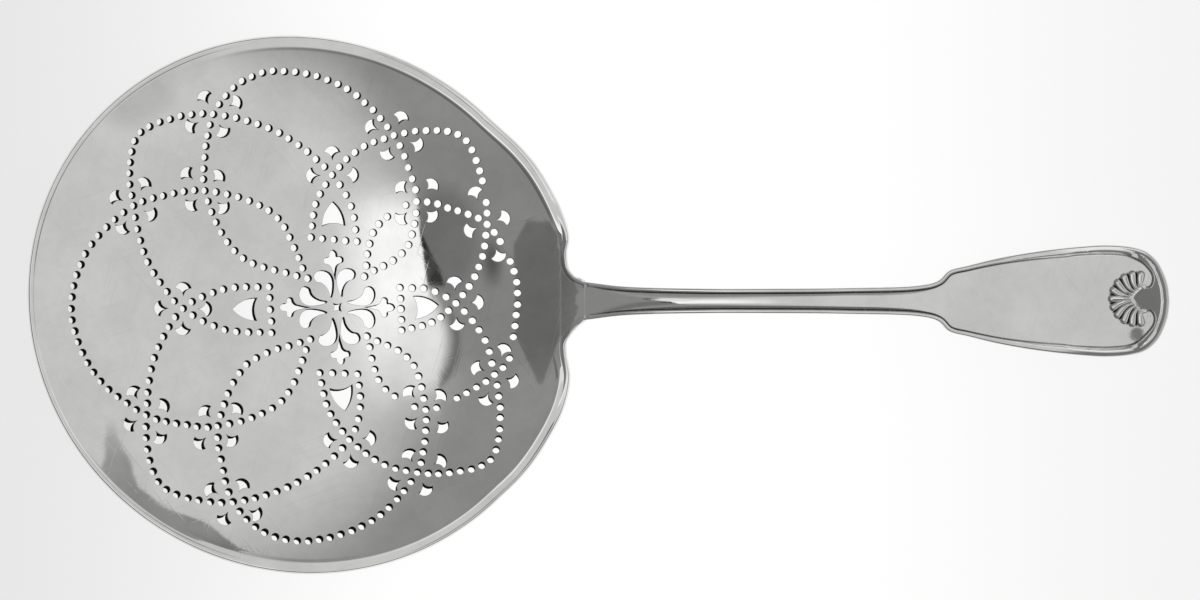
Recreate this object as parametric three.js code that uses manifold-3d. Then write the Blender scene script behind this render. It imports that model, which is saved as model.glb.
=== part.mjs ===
// Pierced server for potato crisps: a shallow round bowl raised from a pierced silver sheet, hard-soldered
// to the tongue of a struck fiddle handle with a threaded edge and a shell at its end.
// Millimetres, +Z up. The bowl's hollow faces up and the handle runs along +X.

import * as THREE from 'three';
import * as BufferGeometryUtils from 'three/addons/utils/BufferGeometryUtils.js';
import Module from 'manifold-3d';

// Bowl, seen from above: an ellipse whose long axis leans across the handle's line
const bowlLongAxis = 113.3;
const bowlShortAxis = 108.3;
const bowlLean = -34; // degrees, anticlockwise from the handle's line
const handleLine = 0.8; // how far the handle's line passes beside the ellipse's centre
const neckReach = 2.4; // from the ellipse's edge to the end of the bowl's neck
const neckWidth = 8;

// Bowl, seen from the side: the rim's rise over the deepest point
const deepest = [7.3, -0.5]; // from the ellipse's centre; the piercing is laid out round it
const riseAtLip = 10.5;
const riseAtSides = 11.8;
const riseAtNeck = 12.4;
const sheet = 1.2;
const wornRadius = 9; // flat worn under the bowl where it stands
const neckEase = 9; // length over which the neck eases from the bowl's slope to the handle's
const turnedEdgeLand = 1; // flat that runs round inside the rim
const turnedEdgeBand = 3; // inside the flat, the rim beside the handle turns up over this width
const turnedEdgeRise = 2;
const turnedEdgeStart = -20; // along the handle's line, where it begins
const turnedEdgeFull = 25; // and where it has its full rise
const shoulderStart = 10; // from the handle's line, where it ends again at the bowl's shoulders
const shoulderFull = 19; // and where it still has its full rise

// Piercing
const plainBorder = 6; // from the rim to the furthest loop
const dotWidth = 1.5;
const dotPitch = 2.3;
const dotSides = 4;
const leastBridge = 0.3; // metal left between two holes
const fanWidth = 3.2;
const fanLength = 2.9;
const fanOffset = 3.1; // from a strand to the middle of the fan beside it
const shieldWidth = 4.7;
const shieldLength = 5;
const shieldGap = 2.8; // from the flat side of its arch
const fleurBearings = [0, 94.5, 180, 274];
const fleurStart = 5.5;
const fleurLength = 6.3;
const fleurWidth = 4.5;
const leafTail = [1.15, 2.1];
const leafKnee = [0.35, 7];
const leafBulb = [3.2, 6.7];
const leafWidth = 2.3;
const leafTailShare = 0.12; // width of the leaf's tail as a share of its bulb's
const starWidth = 1.7;
const petalRoot = 8.5; // from the middle to the dot where a petal starts
const petalRootBearings = [49, 136, 230, 316];

// Handle
const handleLength = 120.7; // beyond the bowl's neck
const stemLength = 69.3; // up to the fiddle's shoulder
const shoulderLength = 5.5;
const stemWidth = 5.1;
const terminalWidth = 23;
const tipSlope = 0.42; // fall of the handle at its tip
const neckThickness = 3.3;
const stemThickness = 3.8;
const terminalThickness = 2.4;
const tipThickness = 1.9;
const beadWidth = 0.95;
const beadHeight = 0.4;
const grooveWidth = 0.4;
const stemCrown = 0.35; // of the stem's middle over its beads
const plainNeck = 5; // length over which the grooves reach their depth
const neckTaper = 22; // length over which the flat of the neck rises to the stem's crown
const crownFade = 28; // length over which that crown sinks into the terminal's field
const bladeFade = 16; // length over which the stem thins to the terminal, and the terminal to its tip
const fieldDepth = 0.3; // of the terminal's field under its border
const borderWidth = 1.9; // of the terminal's border beside the shell
const tipBorder = 2.8; // of the border round the tip

// Shell on the terminal
const fluteCount = 11;
const shellHinge = 6.8; // from the tip
const shellReach = 5.5;
const fluteWidth = 1.35;
const fluteHeight = 0.8;
// Side of the smooth ground behind the shell, from its nose out into the border: [from the tip, aside]
const scroll = [[7.9, 0.2], [6.9, 0.9], [5.9, 1.9], [5, 2.6], [4.2, 2.9], [3.6, 3.8], [3.3, 5.2], [2, 6.4]];

// Joint
const tongueLength = 10;
const tongueWidth = 6;
const tongueThickness = 1.7;
const solderFilm = 0.2;
const seam = 0.25; // between the neck's end and the step in the handle

const wasm = await Module();
wasm.setup();

const radians = THREE.MathUtils.degToRad;
const smooth = THREE.MathUtils.smoothstep;
const mix = THREE.MathUtils.lerp;
const vec = (x, y) => new THREE.Vector2(x, y);
const toward = (bearing, distance) => vec(distance * Math.cos(bearing), distance * Math.sin(bearing));

// Plan of the bowl
const ellipseRadius = (bearing) => {
  const turned = bearing - radians(bowlLean);
  const across = bowlShortAxis * Math.cos(turned);
  const along = bowlLongAxis * Math.sin(turned);
  return bowlLongAxis * bowlShortAxis / 2 / Math.hypot(across, along);
};
const middle = vec(...deepest);
const neckEnd = ellipseRadius(0) + neckReach;

// Distance from the middle of the piercing to the ellipse along a bearing, found by walking outward
function reach(bearing) {
  let near = 0;
  let far = bowlLongAxis;
  while (far - near > 1e-6) {
    const half = (near + far) / 2;
    const point = toward(bearing, half).add(middle);
    if (point.length() < ellipseRadius(point.angle())) near = half;
    else far = half;
  }
  return near;
}

function at(degrees, share) {
  const bearing = radians(degrees);
  return toward(bearing, share * (reach(bearing) - plainBorder)).add(middle);
}

// A smooth curve through plane points
function curveThrough(points) {
  return new THREE.CatmullRomCurve3(points.map((p) => new THREE.Vector3(p.x, p.y, 0)), false, 'centripetal');
}

function samplesOf(curve, count) {
  return Array.from({ length: count + 1 }, (_, i) => {
    const point = curve.getPoint(i / count);
    return vec(point.x, point.y);
  });
}

// Shoulders where the ellipse turns into the neck: [back from the neck's end, from the handle's line]
const upperShoulder = [[12.9, 31], [8.8, 25.7], [4.7, 17.7], [3.5, 13], [3.9, 9.7], [3.5, 6.7], [2.2, 5]];
const lowerShoulder = [
  [12.9, -35.6], [8.8, -30], [4.7, -22.2], [3.3, -15.8], [4, -10.6], [4, -8.6], [3, -6.8], [1.4, -5]];
const ellipseStart = 45; // bearings between which the rim follows the ellipse
const ellipseEnd = 314;
const ellipseSteps = 66;
const shoulderSteps = 16;
const neckShares = [-0.55, 0, 0.55]; // points across the neck's end, as shares of its half width

// The edge runs from the neck's upper corner round the bowl to its lower corner
function bowlEdge() {
  const arc = Array.from({ length: ellipseSteps + 1 }, (_, i) => {
    const bearing = radians(mix(ellipseStart, ellipseEnd, i / ellipseSteps));
    return toward(bearing, ellipseRadius(bearing));
  });
  const shoulder = (points) => points.map(([back, aside]) => vec(neckEnd - back, handleLine + aside));
  const upperEnd = vec(neckEnd, handleLine + neckWidth / 2);
  const lowerEnd = vec(neckEnd, handleLine - neckWidth / 2);
  const upper = curveThrough([upperEnd, ...shoulder(upperShoulder).reverse(), arc[0]]);
  const lower = curveThrough([arc.at(-1), ...shoulder(lowerShoulder), lowerEnd]);
  return [...samplesOf(upper, shoulderSteps), ...arc.slice(1, -1), ...samplesOf(lower, shoulderSteps)];
}

const edge = bowlEdge();
const edgeThereAndBack = [...edge, ...edge.slice(1, -1).reverse()];
const rim = [...edge, ...neckShares.map((share) => vec(neckEnd, handleLine + share * neckWidth / 2))];

function distanceToRing(point, ring) {
  let least = Infinity;
  for (let i = 0; i < ring.length; i++) {
    const a = ring[i];
    const side = ring[(i + 1) % ring.length].clone().sub(a);
    const share = THREE.MathUtils.clamp(point.clone().sub(a).dot(side) / side.lengthSq(), 0, 1);
    least = Math.min(least, point.distanceTo(a.clone().addScaledVector(side, share)));
  }
  return least;
}

// The formed surface: height of the bowl's upper face over the table
const lipReach = reach(Math.PI);
const neckRun = neckEnd - middle.x;
const slopeLip = riseAtLip / lipReach ** 2;
const slopeNeck = riseAtNeck / neckRun ** 2;
const slopeSides = riseAtSides / (bowlShortAxis / 2) ** 2;
const wear = (slopeLip + slopeNeck + 2 * slopeSides) / 4 * wornRadius ** 2;
const neckSlopeDrop = 0.022; // how much the slope falls for each millimetre of the ease
const slopeBlend = 25; // either side of the deepest point the lip's slope turns into the neck's over this
const edgeNarrowing = 7; // length over which the turned-up edge narrows to the bead of the stem

function dishHeight(x, y) {
  const along = x - middle.x;
  const across = y - middle.y;
  const slope = mix(slopeLip, slopeNeck, smooth(along, -slopeBlend, slopeBlend));
  const eased = Math.max(0, x - (neckEnd - neckEase));
  return sheet - wear + slope * along ** 2 + slopeSides * across ** 2 - neckSlopeDrop / 2 * eased ** 2;
}

function bowlTop(x, y) {
  const inward = distanceToRing(vec(x, y), edgeThereAndBack);
  const share = THREE.MathUtils.clamp((inward - turnedEdgeLand) / turnedEdgeBand, 0, 1);
  const beside = smooth(Math.abs(y - handleLine), shoulderStart, shoulderFull);
  const lip = turnedEdgeRise * smooth(x, turnedEdgeStart, turnedEdgeFull) * beside * (1 - share) ** 2;
  const bead = beadHeight * Math.max(0, 1 - inward / beadWidth) ** 2;
  return dishHeight(x, y) + mix(lip, bead, smooth(x, neckEnd - edgeNarrowing, neckEnd));
}

// Interlace: each crossing is [bearing from the handle in degrees, share of the reach], first the one
// nearest the handle, then on round the bowl
const archTips = [[2, 0.575], [92, 0.555], [180.5, 0.555], [275.5, 0.57]];
const archStarts = [[340.5, 0.325], [73.5, 0.305], [163, 0.255], [255, 0.28]];
const archEnds = [[17.5, 0.32], [110.5, 0.295], [201, 0.26], [287, 0.305]];
const loopCrests = [[349, 0.855], [104.5, 0.98], [181, 0.955], [261.5, 0.99]];
const loopStarts = [[337, 0.81], [71.5, 0.81], [153.5, 0.815], [242, 0.89]];
const loopEnds = [[29, 0.83], [122.5, 0.87], [209.5, 0.825], [296, 0.815]];
const petalTips = [[53, 0.62], [138.5, 0.645], [225, 0.655], [311, 0.615]];
const cornerCrests = [[53.5, 0.99], [139, 0.96], [225.5, 0.975], [315.5, 0.99]];
const petalBulge = 0.2; // how far each side swells past its chord, as a share of the chord
const loopSideBulge = 0.05;
const loopBulge = 0.14;
const archBulge = 0.1;
const cornerSideBulge = 0.1;
const cornerBulge = 0.085;

const place = (list) => list.map(([degrees, share]) => at(degrees, share));
const crossings = {
  archTip: place(archTips),
  archStart: place(archStarts),
  archEnd: place(archEnds),
  loopStart: place(loopStarts),
  loopEnd: place(loopEnds),
  petalTip: place(petalTips),
  petalRoot: petalRootBearings.map((degrees) => toward(radians(degrees), petalRoot).add(middle)),
};
const loopCrest = place(loopCrests);
const cornerCrest = place(cornerCrests);

// Between two crossings a strand swells to the right of its way round the bowl
function swell(from, to, bulge) {
  const chord = to.clone().sub(from);
  return from.clone().lerp(to, 0.5).add(vec(chord.y, -chord.x).multiplyScalar(bulge));
}

function strand(stops, bulges) {
  const points = [stops[0]];
  bulges.forEach((bulge, i) => points.push(swell(stops[i], stops[i + 1], bulge), stops[i + 1]));
  return curveThrough(points);
}

function strands() {
  const { archTip, archStart, archEnd, loopStart, loopEnd, petalTip, petalRoot: root } = crossings;
  const all = [];
  for (let i = 0; i < 4; i++) {
    const next = (i + 1) % 4;
    const before = (i + 3) % 4;
    all.push(strand(
      [root[before], petalTip[before], loopStart[i], loopCrest[i], loopEnd[i], petalTip[i], root[i]],
      [petalBulge, loopSideBulge, loopBulge, loopBulge, loopSideBulge, petalBulge]));
    all.push(strand(
      [archStart[i], archTip[i], loopEnd[i], cornerCrest[i], loopStart[next], archTip[next], archEnd[next]],
      [archBulge, cornerSideBulge, cornerBulge, cornerBulge, cornerSideBulge, archBulge]));
  }
  return all;
}

// Each strand has six spans; a dot sits at every crossing, so the crest between the third and the fourth
// span has none of its own
const runsOfSpans = [[0, 1], [1, 2], [2, 4], [4, 5], [5, 6]];
const spanSteps = 12;

function evenPoints(points, pitch) {
  const lengths = [0];
  for (let i = 1; i < points.length; i++) lengths.push(lengths[i - 1] + points[i].distanceTo(points[i - 1]));
  const gaps = Math.max(1, Math.round(lengths.at(-1) / pitch));
  const found = [];
  for (let n = 1; n < gaps; n++) {
    const target = lengths.at(-1) * n / gaps;
    const k = lengths.findIndex((length) => length >= target);
    const share = (target - lengths[k - 1]) / (lengths[k] - lengths[k - 1]);
    const along = points[k].clone().sub(points[k - 1]);
    found.push({ at: points[k - 1].clone().addScaledVector(along, share), heading: along.angle() });
  }
  return found;
}

// Hole outlines, each anticlockwise round its own origin with its axis along +X
const dotOutline = Array.from({ length: dotSides }, (_, i) =>
  toward((i + 0.5) * 2 * Math.PI / dotSides, dotWidth / 2));

const mirrored = (half) => [...half, ...half.filter((p) => p.y > 1e-9).reverse().map((p) => vec(p.x, -p.y))];

const fanOutline = mirrored([
  vec(-0.53, 0), vec(-0.13, 0.16), vec(0.05, 0.5), vec(0.36, 0.31),
].map((p) => vec(p.x * fanLength, p.y * fanWidth))).reverse();

const shieldOutline = mirrored([
  vec(0.12, 0), vec(0, 0.5), vec(0.55, 0.37), vec(1, 0),
].map((p) => vec(p.x * shieldLength, p.y * shieldWidth))).reverse();

const fleurOutline = mirrored([
  vec(0, 0), vec(0.36, 0.1), vec(0.5, 0.22), vec(0.58, 0.44), vec(0.7, 0.5), vec(0.77, 0.34),
  vec(0.84, 0.17), vec(0.97, 0.14), vec(1, 0),
].map((p) => vec(p.x * fleurLength, p.y * fleurWidth))).reverse();

const starOutline = Array.from({ length: 8 }, (_, i) =>
  toward((i + 1) * Math.PI / 4, (i % 2 ? 0.36 : 0.68) * starWidth));

// A curled leaf: a stroke along a bent line that widens from a fine tail to a round bulb
function leafOutline() {
  const bend = new THREE.QuadraticBezierCurve(vec(...leafTail), vec(...leafKnee), vec(...leafBulb));
  const left = [];
  const right = [];
  for (const share of [0, 0.33, 0.67, 1]) {
    const way = bend.getTangent(share);
    const halfWidth = leafWidth / 2 * mix(leafTailShare, 1, Math.sin(share * Math.PI / 2));
    left.push(bend.getPoint(share).add(vec(-way.y, way.x).multiplyScalar(halfWidth)));
    right.push(bend.getPoint(share).add(vec(way.y, -way.x).multiplyScalar(halfWidth)));
  }
  const cap = [-40, 0, 40].map((turn) => {
    const way = bend.getTangent(1).rotateAround(vec(0, 0), radians(turn));
    return bend.getPoint(1).addScaledVector(way, leafWidth / 2);
  });
  return [...right, ...cap, ...left.reverse()];
}

const laid = (outline, where, heading) =>
  outline.map((p) => p.clone().rotateAround(vec(0, 0), heading).add(where));

function centreMotif() {
  const leaf = leafOutline();
  const flipped = leaf.map((p) => vec(-p.x, p.y)).reverse();
  const holes = [laid(starOutline, middle, 0)];
  fleurBearings.forEach((degrees, i) => {
    const bearing = radians(degrees);
    holes.push(laid(fleurOutline, toward(bearing, fleurStart).add(middle), bearing));
    holes.push(laid(leaf, middle, i * Math.PI / 2), laid(flipped, middle, i * Math.PI / 2));
  });
  return holes;
}

function shields() {
  const { archTip, archStart, archEnd } = crossings;
  return archTip.map((tip, i) => {
    const flatSide = archStart[i].clone().lerp(archEnd[i], 0.5);
    const outward = tip.clone().sub(flatSide).normalize();
    return laid(shieldOutline, flatSide.addScaledVector(outward, shieldGap), outward.angle());
  });
}

// Four fans stand round every crossing, in the angles between its strands, with their points inward.
// The arches have none inside, where the shield is, but for the one furthest from the handle.
const archWithFan = 2;

function fans(headings) {
  const holes = [];
  for (const name of ['loopStart', 'loopEnd', 'petalTip', 'archTip']) {
    crossings[name].forEach((where, i) => {
      const [first, second] = headings.get(where);
      for (const [a, b] of [[1, 1], [1, -1], [-1, -1], [-1, 1]]) {
        const way = first.clone().multiplyScalar(a).addScaledVector(second, b);
        const halfAngle = Math.atan2(Math.abs(first.cross(second)), a * b * first.dot(second)) / 2;
        way.normalize();
        const inward = way.dot(middle.clone().sub(where).normalize()) > 0.8;
        if (name === 'archTip' && i !== archWithFan && inward) continue;
        const centre = where.clone().addScaledVector(way, fanOffset / Math.sin(halfAngle));
        holes.push(laid(fanOutline, centre, way.angle()));
      }
    });
  }
  return holes;
}

function apart(hole, other) {
  const centre = (ring) => ring.reduce((sum, p) => sum.add(p), vec(0, 0)).divideScalar(ring.length);
  const radius = (ring, from) => Math.max(...ring.map((p) => p.distanceTo(from)));
  const nearest = (ring, beside) => Math.min(...ring.map((p) => distanceToRing(p, beside)));
  const [a, b] = [centre(hole), centre(other)];
  if (a.distanceTo(b) > radius(hole, a) + radius(other, b) + leastBridge) return true;
  return Math.min(nearest(hole, other), nearest(other, hole), a.distanceTo(b)) > leastBridge;
}

const samePlace = 0.01; // points no further apart than this are one crossing

function piercing() {
  const allCrossings = Object.values(crossings).flat();
  const headings = new Map(allCrossings.map((where) => [where, []]));
  const dots = allCrossings.map((where) => ({ at: where, heading: 0 }));
  for (const curve of strands()) {
    for (const [from, to] of runsOfSpans) {
      const points = samplesOf(curve, 6 * spanSteps).slice(from * spanSteps, to * spanSteps + 1);
      dots.push(...evenPoints(points, dotPitch));
      for (const [end, beside] of [[points[0], points[1]], [points.at(-1), points.at(-2)]]) {
        const known = headings.get(allCrossings.find((p) => p.distanceTo(end) < samePlace));
        const heading = beside.clone().sub(end).normalize();
        if (known.every((other) => Math.abs(other.dot(heading)) < 0.97)) known.push(heading);
      }
    }
  }
  crossings.archStart.forEach((start, i) => {
    dots.push(...evenPoints([start, crossings.archEnd[i]], dotPitch));
  });
  const holes = [...centreMotif(), ...shields(), ...fans(headings)];
  const dotHoles = dots.map((dot) => laid(dotOutline, dot.at, dot.heading));
  for (const hole of dotHoles) {
    if (holes.every((other) => apart(hole, other))) holes.push(hole);
  }
  return holes;
}

// The lap: the neck's underside is filed flat where the tongue is soldered to it
function lean(x, y) {
  const step = 0.05;
  const fallAlong = bowlTop(x - step, y) - bowlTop(x + step, y);
  const fallAcross = bowlTop(x, y - step) - bowlTop(x, y + step);
  return new THREE.Vector3(fallAlong, fallAcross, 2 * step).normalize();
}
const under = (x, y) => new THREE.Vector3(x, y, bowlTop(x, y)).addScaledVector(lean(x, y), -sheet);
const lapFoot = under(neckEnd - tongueLength, handleLine);
const lapHead = under(neckEnd, handleLine);
const lapAngle = Math.atan2(lapHead.z - lapFoot.z, lapHead.x - lapFoot.x);
const lapLength = lapHead.distanceTo(lapFoot);

// A point of the lap from its distance along it, its distance aside and its height over the filed seat
function onLap(along, aside, height) {
  const place = vec(along, height).rotateAround(vec(0, 0), lapAngle);
  return new THREE.Vector3(lapFoot.x + place.x, handleLine + aside, lapFoot.z + place.y);
}

// Outline of the tongue in the plane of the lap, grown by a margin: a long round end, then straight sides
function tongueOutline(length, margin, steps) {
  const halfWidth = tongueWidth / 2 + margin;
  const round = tongueWidth * 0.75;
  const end = Array.from({ length: steps + 1 }, (_, i) => {
    const angle = Math.PI / 2 + Math.PI * i / steps;
    return vec(round + (round + margin) * Math.cos(angle), halfWidth * Math.sin(angle));
  });
  return [...end, vec(length, -halfWidth), vec(length, halfWidth)];
}

const seatMargin = 0.5; // how far the filed flat runs past the tongue
const seatShift = lapFoot.x - sheet * Math.sin(lapAngle);
const seat = tongueOutline(lapLength, seatMargin, 8).map((p) => vec(p.x + seatShift, p.y + handleLine));

// Triangles over the pierced blank: the outline and its holes are joined up, the inner points are put in,
// and edges are turned until every triangle is as even as it can be
function trianglesOver(outline, holes, inner) {
  const points = [...outline, ...holes.flat()];
  const triangles = THREE.ShapeUtils.triangulateShape(outline, holes).map((t) => [...t]);
  const turn = (a, b, c) => (b.x - a.x) * (c.y - a.y) - (b.y - a.y) * (c.x - a.x);
  const area = ([a, b, c]) => turn(points[a], points[b], points[c]);
  triangles.filter((t) => area(t) < 0).forEach((t) => t.reverse());
  for (const point of inner) {
    const left = (a, b) => turn(points[a], points[b], point) > 1e-6;
    const k = triangles.findIndex(([a, b, c]) => left(a, b) && left(b, c) && left(c, a));
    if (k < 0) continue;
    const [a, b, c] = triangles[k];
    const added = points.push(point) - 1;
    triangles.splice(k, 1, [a, b, added], [b, c, added], [c, a, added]);
  }
  const within = (a, b, c, d) => {
    const row = (p) => new THREE.Vector3(p.x - d.x, p.y - d.y, (p.x - d.x) ** 2 + (p.y - d.y) ** 2);
    return row(a).dot(row(b).cross(row(c)));
  };
  for (let turned = true; turned;) {
    turned = false;
    const owners = new Map();
    triangles.forEach(([a, b, c], k) => {
      owners.set(`${a},${b}`, [k, c]).set(`${b},${c}`, [k, a]).set(`${c},${a}`, [k, b]);
    });
    const touched = new Set();
    for (const [edge, [k, apex]] of owners) {
      const [a, b] = edge.split(',').map(Number);
      const other = owners.get(`${b},${a}`);
      if (a > b || !other || touched.has(k) || touched.has(other[0])) continue;
      const [j, far] = other;
      if (within(points[a], points[b], points[apex], points[far]) < 1e-7) continue;
      if (area([apex, a, far]) < 1e-7 || area([far, b, apex]) < 1e-7) continue;
      triangles[k] = [apex, a, far];
      triangles[j] = [far, b, apex];
      touched.add(k).add(j);
      turned = true;
    }
  }
  return { points, triangles };
}

function solidFrom(positions, triangles) {
  const geometry = new THREE.BufferGeometry();
  geometry.setAttribute('position', new THREE.Float32BufferAttribute(positions, 3));
  geometry.setIndex(triangles);
  return BufferGeometryUtils.mergeVertices(geometry, 1e-4);
}

// Points spread over the plain parts of the blank, so that it can take its shape: rows along the edge,
// three where it turns up and one elsewhere, and an even field inside
const fieldPitch = 6.2;
const edgeReach = turnedEdgeLand + turnedEdgeBand;
const edgeRows = [edgeReach, turnedEdgeLand + 0.45 * turnedEdgeBand, turnedEdgeLand];

function innerPoints(holes) {
  const found = [];
  edgeRows.forEach((inward, row) => {
    edge.forEach((point, i) => {
      const plain = row > 0 && point.x < turnedEdgeStart;
      if (i % 2 !== row % 2 || i < 3 || i > edge.length - 4 || plain) return;
      const way = edge[i + 1].clone().sub(edge[i - 1]).normalize();
      found.push(point.clone().add(vec(-way.y, way.x).multiplyScalar(inward)));
    });
  });
  const rows = Math.ceil(bowlLongAxis / 2 / fieldPitch) + 1;
  for (let row = -rows; row <= rows; row++) {
    for (let column = -rows; column <= rows; column++) {
      const point = vec((column + (row % 2 ? 0.5 : 0)) * fieldPitch, row * fieldPitch * 0.87);
      const within = point.length() < ellipseRadius(point.angle());
      if (within && distanceToRing(point, rim) > edgeReach + 2) found.push(point);
    }
  }
  const clearOf = (point, hole) => point.distanceTo(hole[0]) > 12 || distanceToRing(point, hole) > 2;
  const room = (point) => !inside(point, seat) && holes.every((hole) => clearOf(point, hole)) &&
    Math.min(distanceToRing(point, rim), distanceToRing(point, seat)) > 1;
  const spine = [0.3, 0.65].map((share) => vec(lapFoot.x + share * lapLength, handleLine));
  return [...found.filter(room), ...seat.filter((p) => p.x < neckEnd - 1), ...spine];
}

function inside(point, ring) {
  let crossings = 0;
  ring.forEach((a, i) => {
    const b = ring[(i + 1) % ring.length];
    const spans = (a.y > point.y) !== (b.y > point.y);
    if (spans && point.x < a.x + (point.y - a.y) / (b.y - a.y) * (b.x - a.x)) crossings++;
  });
  return crossings % 2 === 1;
}

// The bowl: the pierced blank bent to the dish, its lower face a sheet's thickness below its upper one
function piercedBowl() {
  const holes = piercing();
  const { points, triangles } = trianglesOver(rim, holes, innerPoints(holes));
  const upper = points.map((p) => new THREE.Vector3(p.x, p.y, bowlTop(p.x, p.y)));
  const lower = points.map((p) => {
    const place = under(p.x, p.y);
    const seated = inside(p, seat) || distanceToRing(p, seat) < 1e-6;
    if (seated) place.z = lapFoot.z + (place.x - lapFoot.x) * Math.tan(lapAngle);
    place.z = Math.max(0, place.z);
    return place;
  });
  const count = points.length;
  const edges = new Set(triangles.flatMap((t) => t.map((a, i) => `${a},${t[(i + 1) % 3]}`)));
  const faces = triangles.flatMap(([a, b, c]) => [a, b, c, c + count, b + count, a + count]);
  for (const edge of edges) {
    const [a, b] = edge.split(',').map(Number);
    if (!edges.has(`${b},${a}`)) faces.push(b, a, a + count, b, a + count, b + count);
  }
  return solidFrom([...upper, ...lower].flatMap((p) => p.toArray()), faces);
}

// Line of the handle from the side: one cubic from the neck's slope to the tip resting on the table.
// It follows the tops of the edge beads, and every section stands square to it.
const bowlSlope = 2 * slopeNeck * neckRun - neckSlopeDrop * neckEase;
const neckHeight = dishHeight(neckEnd, handleLine) + beadHeight;
const tipHeight = tipThickness / 2 * Math.cos(Math.atan(tipSlope));
const handleRise = new THREE.CubicBezierCurve(
  vec(0, neckHeight), vec(handleLength / 3, neckHeight + bowlSlope * handleLength / 3),
  vec(handleLength * 2 / 3, tipHeight + tipSlope * handleLength / 3), vec(handleLength, tipHeight));

// A point of the handle from its distance along the line, its distance aside, and its height over the line
function onHandle(along, aside, height) {
  const share = THREE.MathUtils.clamp(along / handleLength, 0, 1);
  const foot = handleRise.getPoint(share);
  const way = handleRise.getTangent(share);
  foot.addScaledVector(vec(-way.y, way.x), height);
  return new THREE.Vector3(neckEnd + foot.x, handleLine + aside, foot.y);
}

// Half outline of the handle: the stem as shares of its length and half width, then the fiddle's
// shoulder, then the terminal as shares of its own length and half width
const terminalLength = handleLength - stemLength;
const stemOutline = [[0.11, 1.2], [0.34, 1.01], [0.53, 1], [0.77, 1.06], [1, 1.29]];
const terminalOutline = [
  [0.185, 0.635], [0.32, 0.777], [0.48, 0.896], [0.64, 0.974], [0.745, 1], [0.845, 0.965], [0.905, 0.878],
  [0.945, 0.696], [0.975, 0.504], [0.993, 0.27], [1, 0]];

function handleOutline() {
  const shoulder = [[stemLength + 0.62 * shoulderLength, 0.37], [stemLength + shoulderLength, 0.54]];
  return curveThrough([
    vec(seam, neckWidth / 2),
    ...stemOutline.map(([share, width]) => vec(share * stemLength, width * stemWidth / 2)),
    ...shoulder.map(([along, width]) => vec(along, width * terminalWidth / 2)),
    ...terminalOutline.map(([share, width]) =>
      vec(stemLength + share * terminalLength, width * terminalWidth / 2)),
  ]);
}

// Half a section of the handle from the middle of its underside round to the middle of its top, as
// [distance in from the edge, height over the line]
function handleSection(along, halfWidth) {
  const fromNeck = smooth(along, 0, neckTaper);
  const grooved = smooth(along, 0, plainNeck);
  const crowned = 1 - smooth(along, stemLength - 0.4 * crownFade, stemLength + 0.6 * crownFade);
  const terminal = smooth(along, stemLength - 0.25 * bladeFade, stemLength + 0.75 * bladeFade);
  const endwise = smooth(along, handleLength - 1.5 * bladeFade, handleLength - 0.5 * bladeFade);
  const stem = mix(neckThickness, stemThickness, fromNeck);
  const blade = mix(terminalThickness, tipThickness, endwise);
  const thickness = mix(stem, blade, terminal);
  const widened = smooth(along, stemLength + shoulderLength, handleLength - bladeFade);
  const bead = mix(mix(beadWidth, borderWidth, widened), tipBorder, endwise);
  const floor = mix(-beadHeight, mix(-fieldDepth, stemCrown, crowned), fromNeck);
  const body = mix(-beadHeight, mix(-fieldDepth, -beadHeight / 4, crowned), grooved);
  const groove = -beadHeight - 0.05 * grooved;
  const inner = bead + grooveWidth;
  const underside = [
    [halfWidth, -thickness], [0.45 * halfWidth, -0.94 * thickness], [0.12 * halfWidth, -0.74 * thickness],
    [0, -0.5 * thickness], [0, -0.12 * thickness - beadHeight / 2]];
  const top = [
    [0.2 * bead, -beadHeight / 4], [0.5 * bead, 0], [0.85 * bead, -beadHeight / 3],
    [bead + 0.3 * grooveWidth, groove], [inner, body],
    [mix(inner, halfWidth, 0.45), mix(body, floor, 0.75)], [halfWidth, floor]];
  return [...underside, ...top];
}

const spineEnd = handleLength - 0.46 * terminalWidth; // the sections turn round this point at the tip
const outlineSteps = 46;

function handleBody() {
  const rings = samplesOf(handleOutline(), outlineSteps).map((place) => {
    const spine = vec(Math.min(place.x, spineEnd), 0);
    const halfWidth = place.distanceTo(spine);
    const inward = spine.sub(place).normalize();
    const half = handleSection(place.x, halfWidth).map(([distance, height]) => {
      const plan = place.clone().addScaledVector(inward, distance);
      return [plan.x, plan.y, height];
    });
    const otherHalf = half.slice(1, -1).reverse().map(([x, y, height]) => [x, -y, height]);
    return [...half, ...otherHalf].map((point) => onHandle(...point));
  });
  return lofted(rings, false);
}

// A solid between a row of rings of equal size, each anticlockwise as seen from the last. Its first end
// is closed, and its last too unless the sides meet there.
function lofted(rings, lastClosed = true) {
  const size = rings[0].length;
  const last = (rings.length - 1) * size;
  const faces = [];
  for (let k = 0; k < rings.length - 1; k++) {
    for (let i = 0; i < size; i++) {
      const [a, b] = [k * size + i, k * size + (i + 1) % size];
      faces.push([a, b, a + size], [b, b + size, a + size]);
    }
  }
  for (let i = 1; i < size - 1; i++) {
    faces.push([0, i + 1, i]);
    if (lastClosed) faces.push([last, last + i, last + i + 1]);
  }
  const points = rings.flat();
  const meet = (a, b) => points[a].distanceTo(points[b]) < 1e-4;
  const open = faces.filter(([a, b, c]) => !meet(a, b) && !meet(b, c) && !meet(c, a));
  return solidFrom(points.flatMap((p) => p.toArray()), open.flat());
}

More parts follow.
